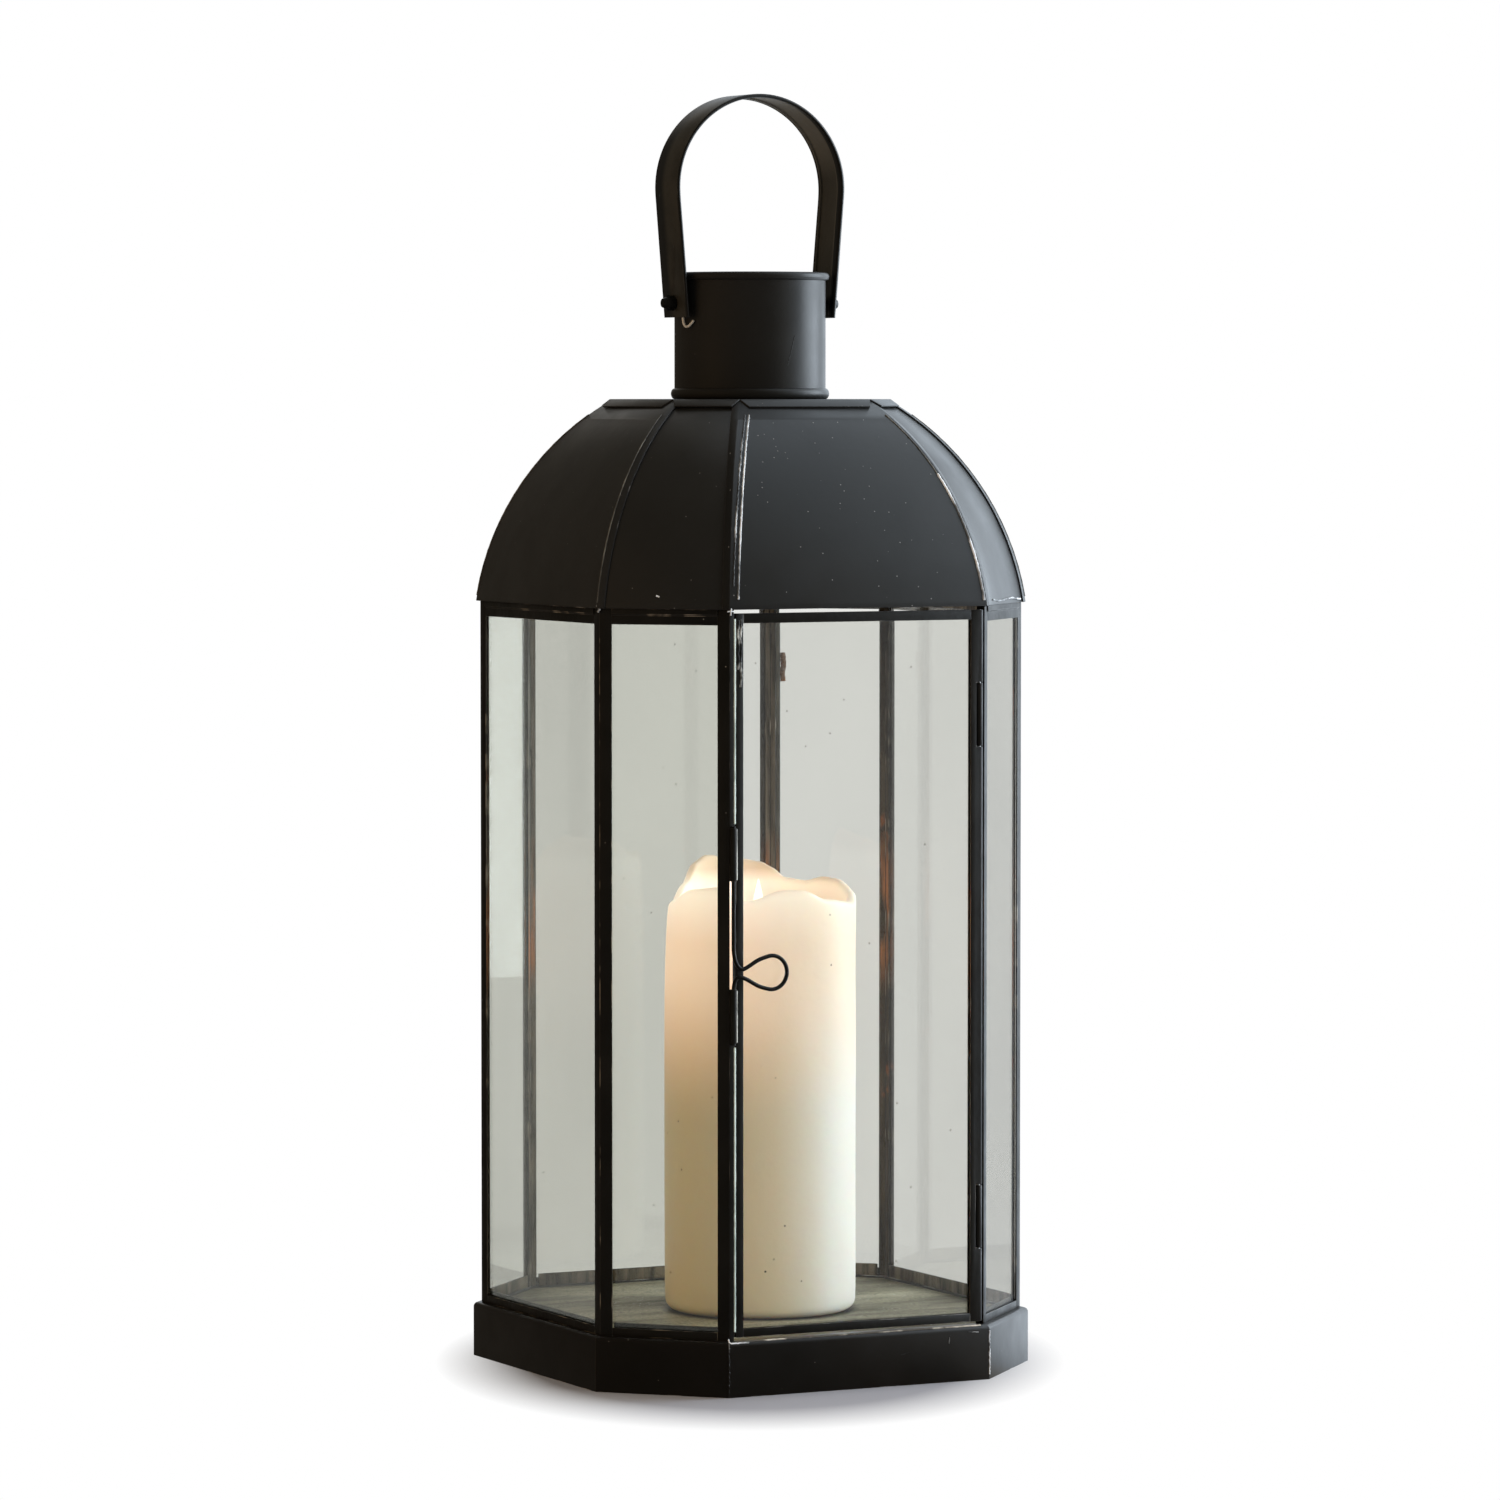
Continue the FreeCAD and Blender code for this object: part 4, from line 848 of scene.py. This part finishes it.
# Away from the lantern the floor is as white as the room; close to it the shadow on it shows.
outline = tree.nodes.new("ShaderNodeMapping")
outline.vector_type = "TEXTURE"
outline.inputs["Rotation"].default_value = (0, 0, VIEW_TURN)
SHADOW_REACH = (0.1155, 0.178, 1)
outline.inputs["Scale"].default_value = SHADOW_REACH
tree.links.new(place_on_piece(tree), outline.inputs["Vector"])
apart = tree.nodes.new("ShaderNodeVectorMath")
apart.operation = "LENGTH"
tree.links.new(outline.outputs["Vector"], apart.inputs[0])
clear = between(tree, apart.outputs["Value"], 0.82, 1.15)
PANE_SHEEN = 0.12


def stage_rays(tree):
    """The light path at the stage, whether it is seen or mirrored, and how strong a reflection is."""
    ray = tree.nodes.new("ShaderNodeLightPath")
    through_glass = ray.outputs["Is Transmission Ray"]
    seen = arithmetic(tree, "MAXIMUM", ray.outputs["Is Camera Ray"], through_glass)
    bounced = arithmetic(tree, "SUBTRACT", ray.outputs["Is Glossy Ray"], through_glass)
    # Sharp reflections in the panes are fainter than those in the paint.
    sheen = between(tree, ray.outputs["Is Singular Ray"], 0, 1, 1.0, PANE_SHEEN)
    return ray, seen, bounced, sheen


ray, seen, bounced, sheen = stage_rays(tree)
white = tree.nodes.new("ShaderNodeEmission")
spread = tree.nodes.new("ShaderNodeMixShader")
tree.links.new(arithmetic(tree, "MULTIPLY", clear, seen), spread.inputs["Fac"])
tree.links.new(shader.outputs["BSDF"], spread.inputs[1])
tree.links.new(white.outputs["Emission"], spread.inputs[2])
BRIGHT_SIDE = Vector((0.90, 0.08, 0.43))
ROOM_DIM, ROOM_BRIGHT, ROOM_AMBIENT = 0.08, 2.25, 0.28


def room_level(tree, direction):
    """How bright the room is one way: dim on the left and in front, bright on the right and above."""
    share = tree.nodes.new("ShaderNodeVectorMath")
    share.operation = "DOT_PRODUCT"
    share.inputs[1].default_value = BRIGHT_SIDE
    tree.links.new(direction, share.inputs[0])
    return between(tree, share.outputs["Value"], 0.25, 0.90, ROOM_DIM, ROOM_BRIGHT)


DAYLIGHT = (0.80, 0.90, 1.0)
LAMPLIGHT = (1.0, 0.89, 0.72)


def room_tint(tree, level):
    """Where the room is bright its light is cool; the dim rest of it throws back a warm light."""
    return tinted(tree, between(tree, level, 0.1, 1.2), LAMPLIGHT, DAYLIGHT)


# Mirrored in paint and metal, the floor is as bright as the part of the room that lies that way.
BASE_MIDDLE = 0.012
away = tree.nodes.new("ShaderNodeVectorMath")
away.operation = "SUBTRACT"
away.inputs[1].default_value = (0, 0, BASE_MIDDLE)
tree.links.new(place_on_piece(tree), away.inputs[0])
heading = tree.nodes.new("ShaderNodeVectorMath")
heading.operation = "NORMALIZE"
tree.links.new(away.outputs[0], heading.inputs[0])
beyond = tree.nodes.new("ShaderNodeEmission")
far_level = room_level(tree, heading.outputs[0])
tree.links.new(arithmetic(tree, "MULTIPLY", far_level, sheen), beyond.inputs["Strength"])
tree.links.new(room_tint(tree, far_level), beyond.inputs["Color"])
shown = tree.nodes.new("ShaderNodeMixShader")
tree.links.new(bounced, shown.inputs["Fac"])
tree.links.new(spread.outputs["Shader"], shown.inputs[1])
tree.links.new(beyond.outputs["Emission"], shown.inputs[2])
tree.links.new(shown.outputs["Shader"], tree.nodes["Material Output"].inputs["Surface"])
studio_floor.data.materials.append(floor_paint)

world = bpy.data.worlds.new("studio_room")
bpy.context.scene.world = world
world.use_nodes = True
tree = world.node_tree
room = tree.nodes["Background"]
ray, seen, bounced, sheen = stage_rays(tree)
direction = tree.nodes.new("ShaderNodeTexCoord")
mirrored = room_level(tree, direction.outputs["Generated"])
shine = arithmetic(tree, "MULTIPLY", arithmetic(tree, "MULTIPLY", bounced, mirrored), sheen)
ambient = arithmetic(tree, "MULTIPLY", ray.outputs["Is Diffuse Ray"], ROOM_AMBIENT)
level = arithmetic(tree, "MAXIMUM", arithmetic(tree, "MAXIMUM", seen, shine), ambient)
tree.links.new(level, room.inputs["Strength"])
room_colour = tinted(tree, between(tree, bounced, 0, 1), (1.0, 1.0, 1.0), room_tint(tree, mirrored))
tree.links.new(tinted(tree, ray.outputs["Is Diffuse Ray"], room_colour, LAMPLIGHT), room.inputs["Color"])


LAMP_AIM = 0.25


def lamp(name, turn, reach, height, size, power, colour):
    """A soft rectangular lamp, placed by its turn from the door and aimed at the glass."""
    place = Vector((reach * math.sin(turn), -reach * math.cos(turn), height))
    bpy.ops.object.light_add(type="AREA", location=place)
    light = bpy.context.object
    light.name = name
    light.rotation_euler = (Vector((0, 0, LAMP_AIM)) - place).to_track_quat("-Z", "Y").to_euler()
    light.data.shape = "RECTANGLE"
    light.data.size, light.data.size_y = size
    light.data.energy = power
    light.data.color = colour
    return light


lamp("window_lamp", math.radians(80), 1.6, 0.55, (1.0, 1.5), 38, DAYLIGHT)
overhead_lamp = lamp("overhead_lamp", VIEW_TURN + math.pi, 0.45, 2.2, (0.9, 0.9), 12.5, (1.0, 0.98, 0.96))
fill_lamp = lamp("fill_lamp", math.radians(35), 1.7, 0.45, (1.0, 1.0), 13, (1.0, 0.95, 0.88))
warm_lamp = lamp("warm_lamp", math.radians(-85), 1.7, 0.45, (1.2, 1.2), 9.5, (1.0, 0.62, 0.30))
# These three only light the surfaces and are not mirrored in them.
for light in (overhead_lamp, fill_lamp, warm_lamp):
    light.visible_glossy = light.visible_transmission = False

CAMERA_DISTANCE = 2.894
CAMERA_HEIGHT = 0.4093
AIM_HEIGHT = 0.2576
place = view_front * CAMERA_DISTANCE + Vector((0, 0, CAMERA_HEIGHT))
bpy.ops.object.camera_add(location=place)
camera = bpy.context.object
camera.rotation_euler = (Vector((0, 0, AIM_HEIGHT)) - place).to_track_quat("-Z", "Y").to_euler()
camera.data.sensor_width = 36
camera.data.lens = 165.1
camera.data.clip_end = 50
bpy.context.scene.camera = camera
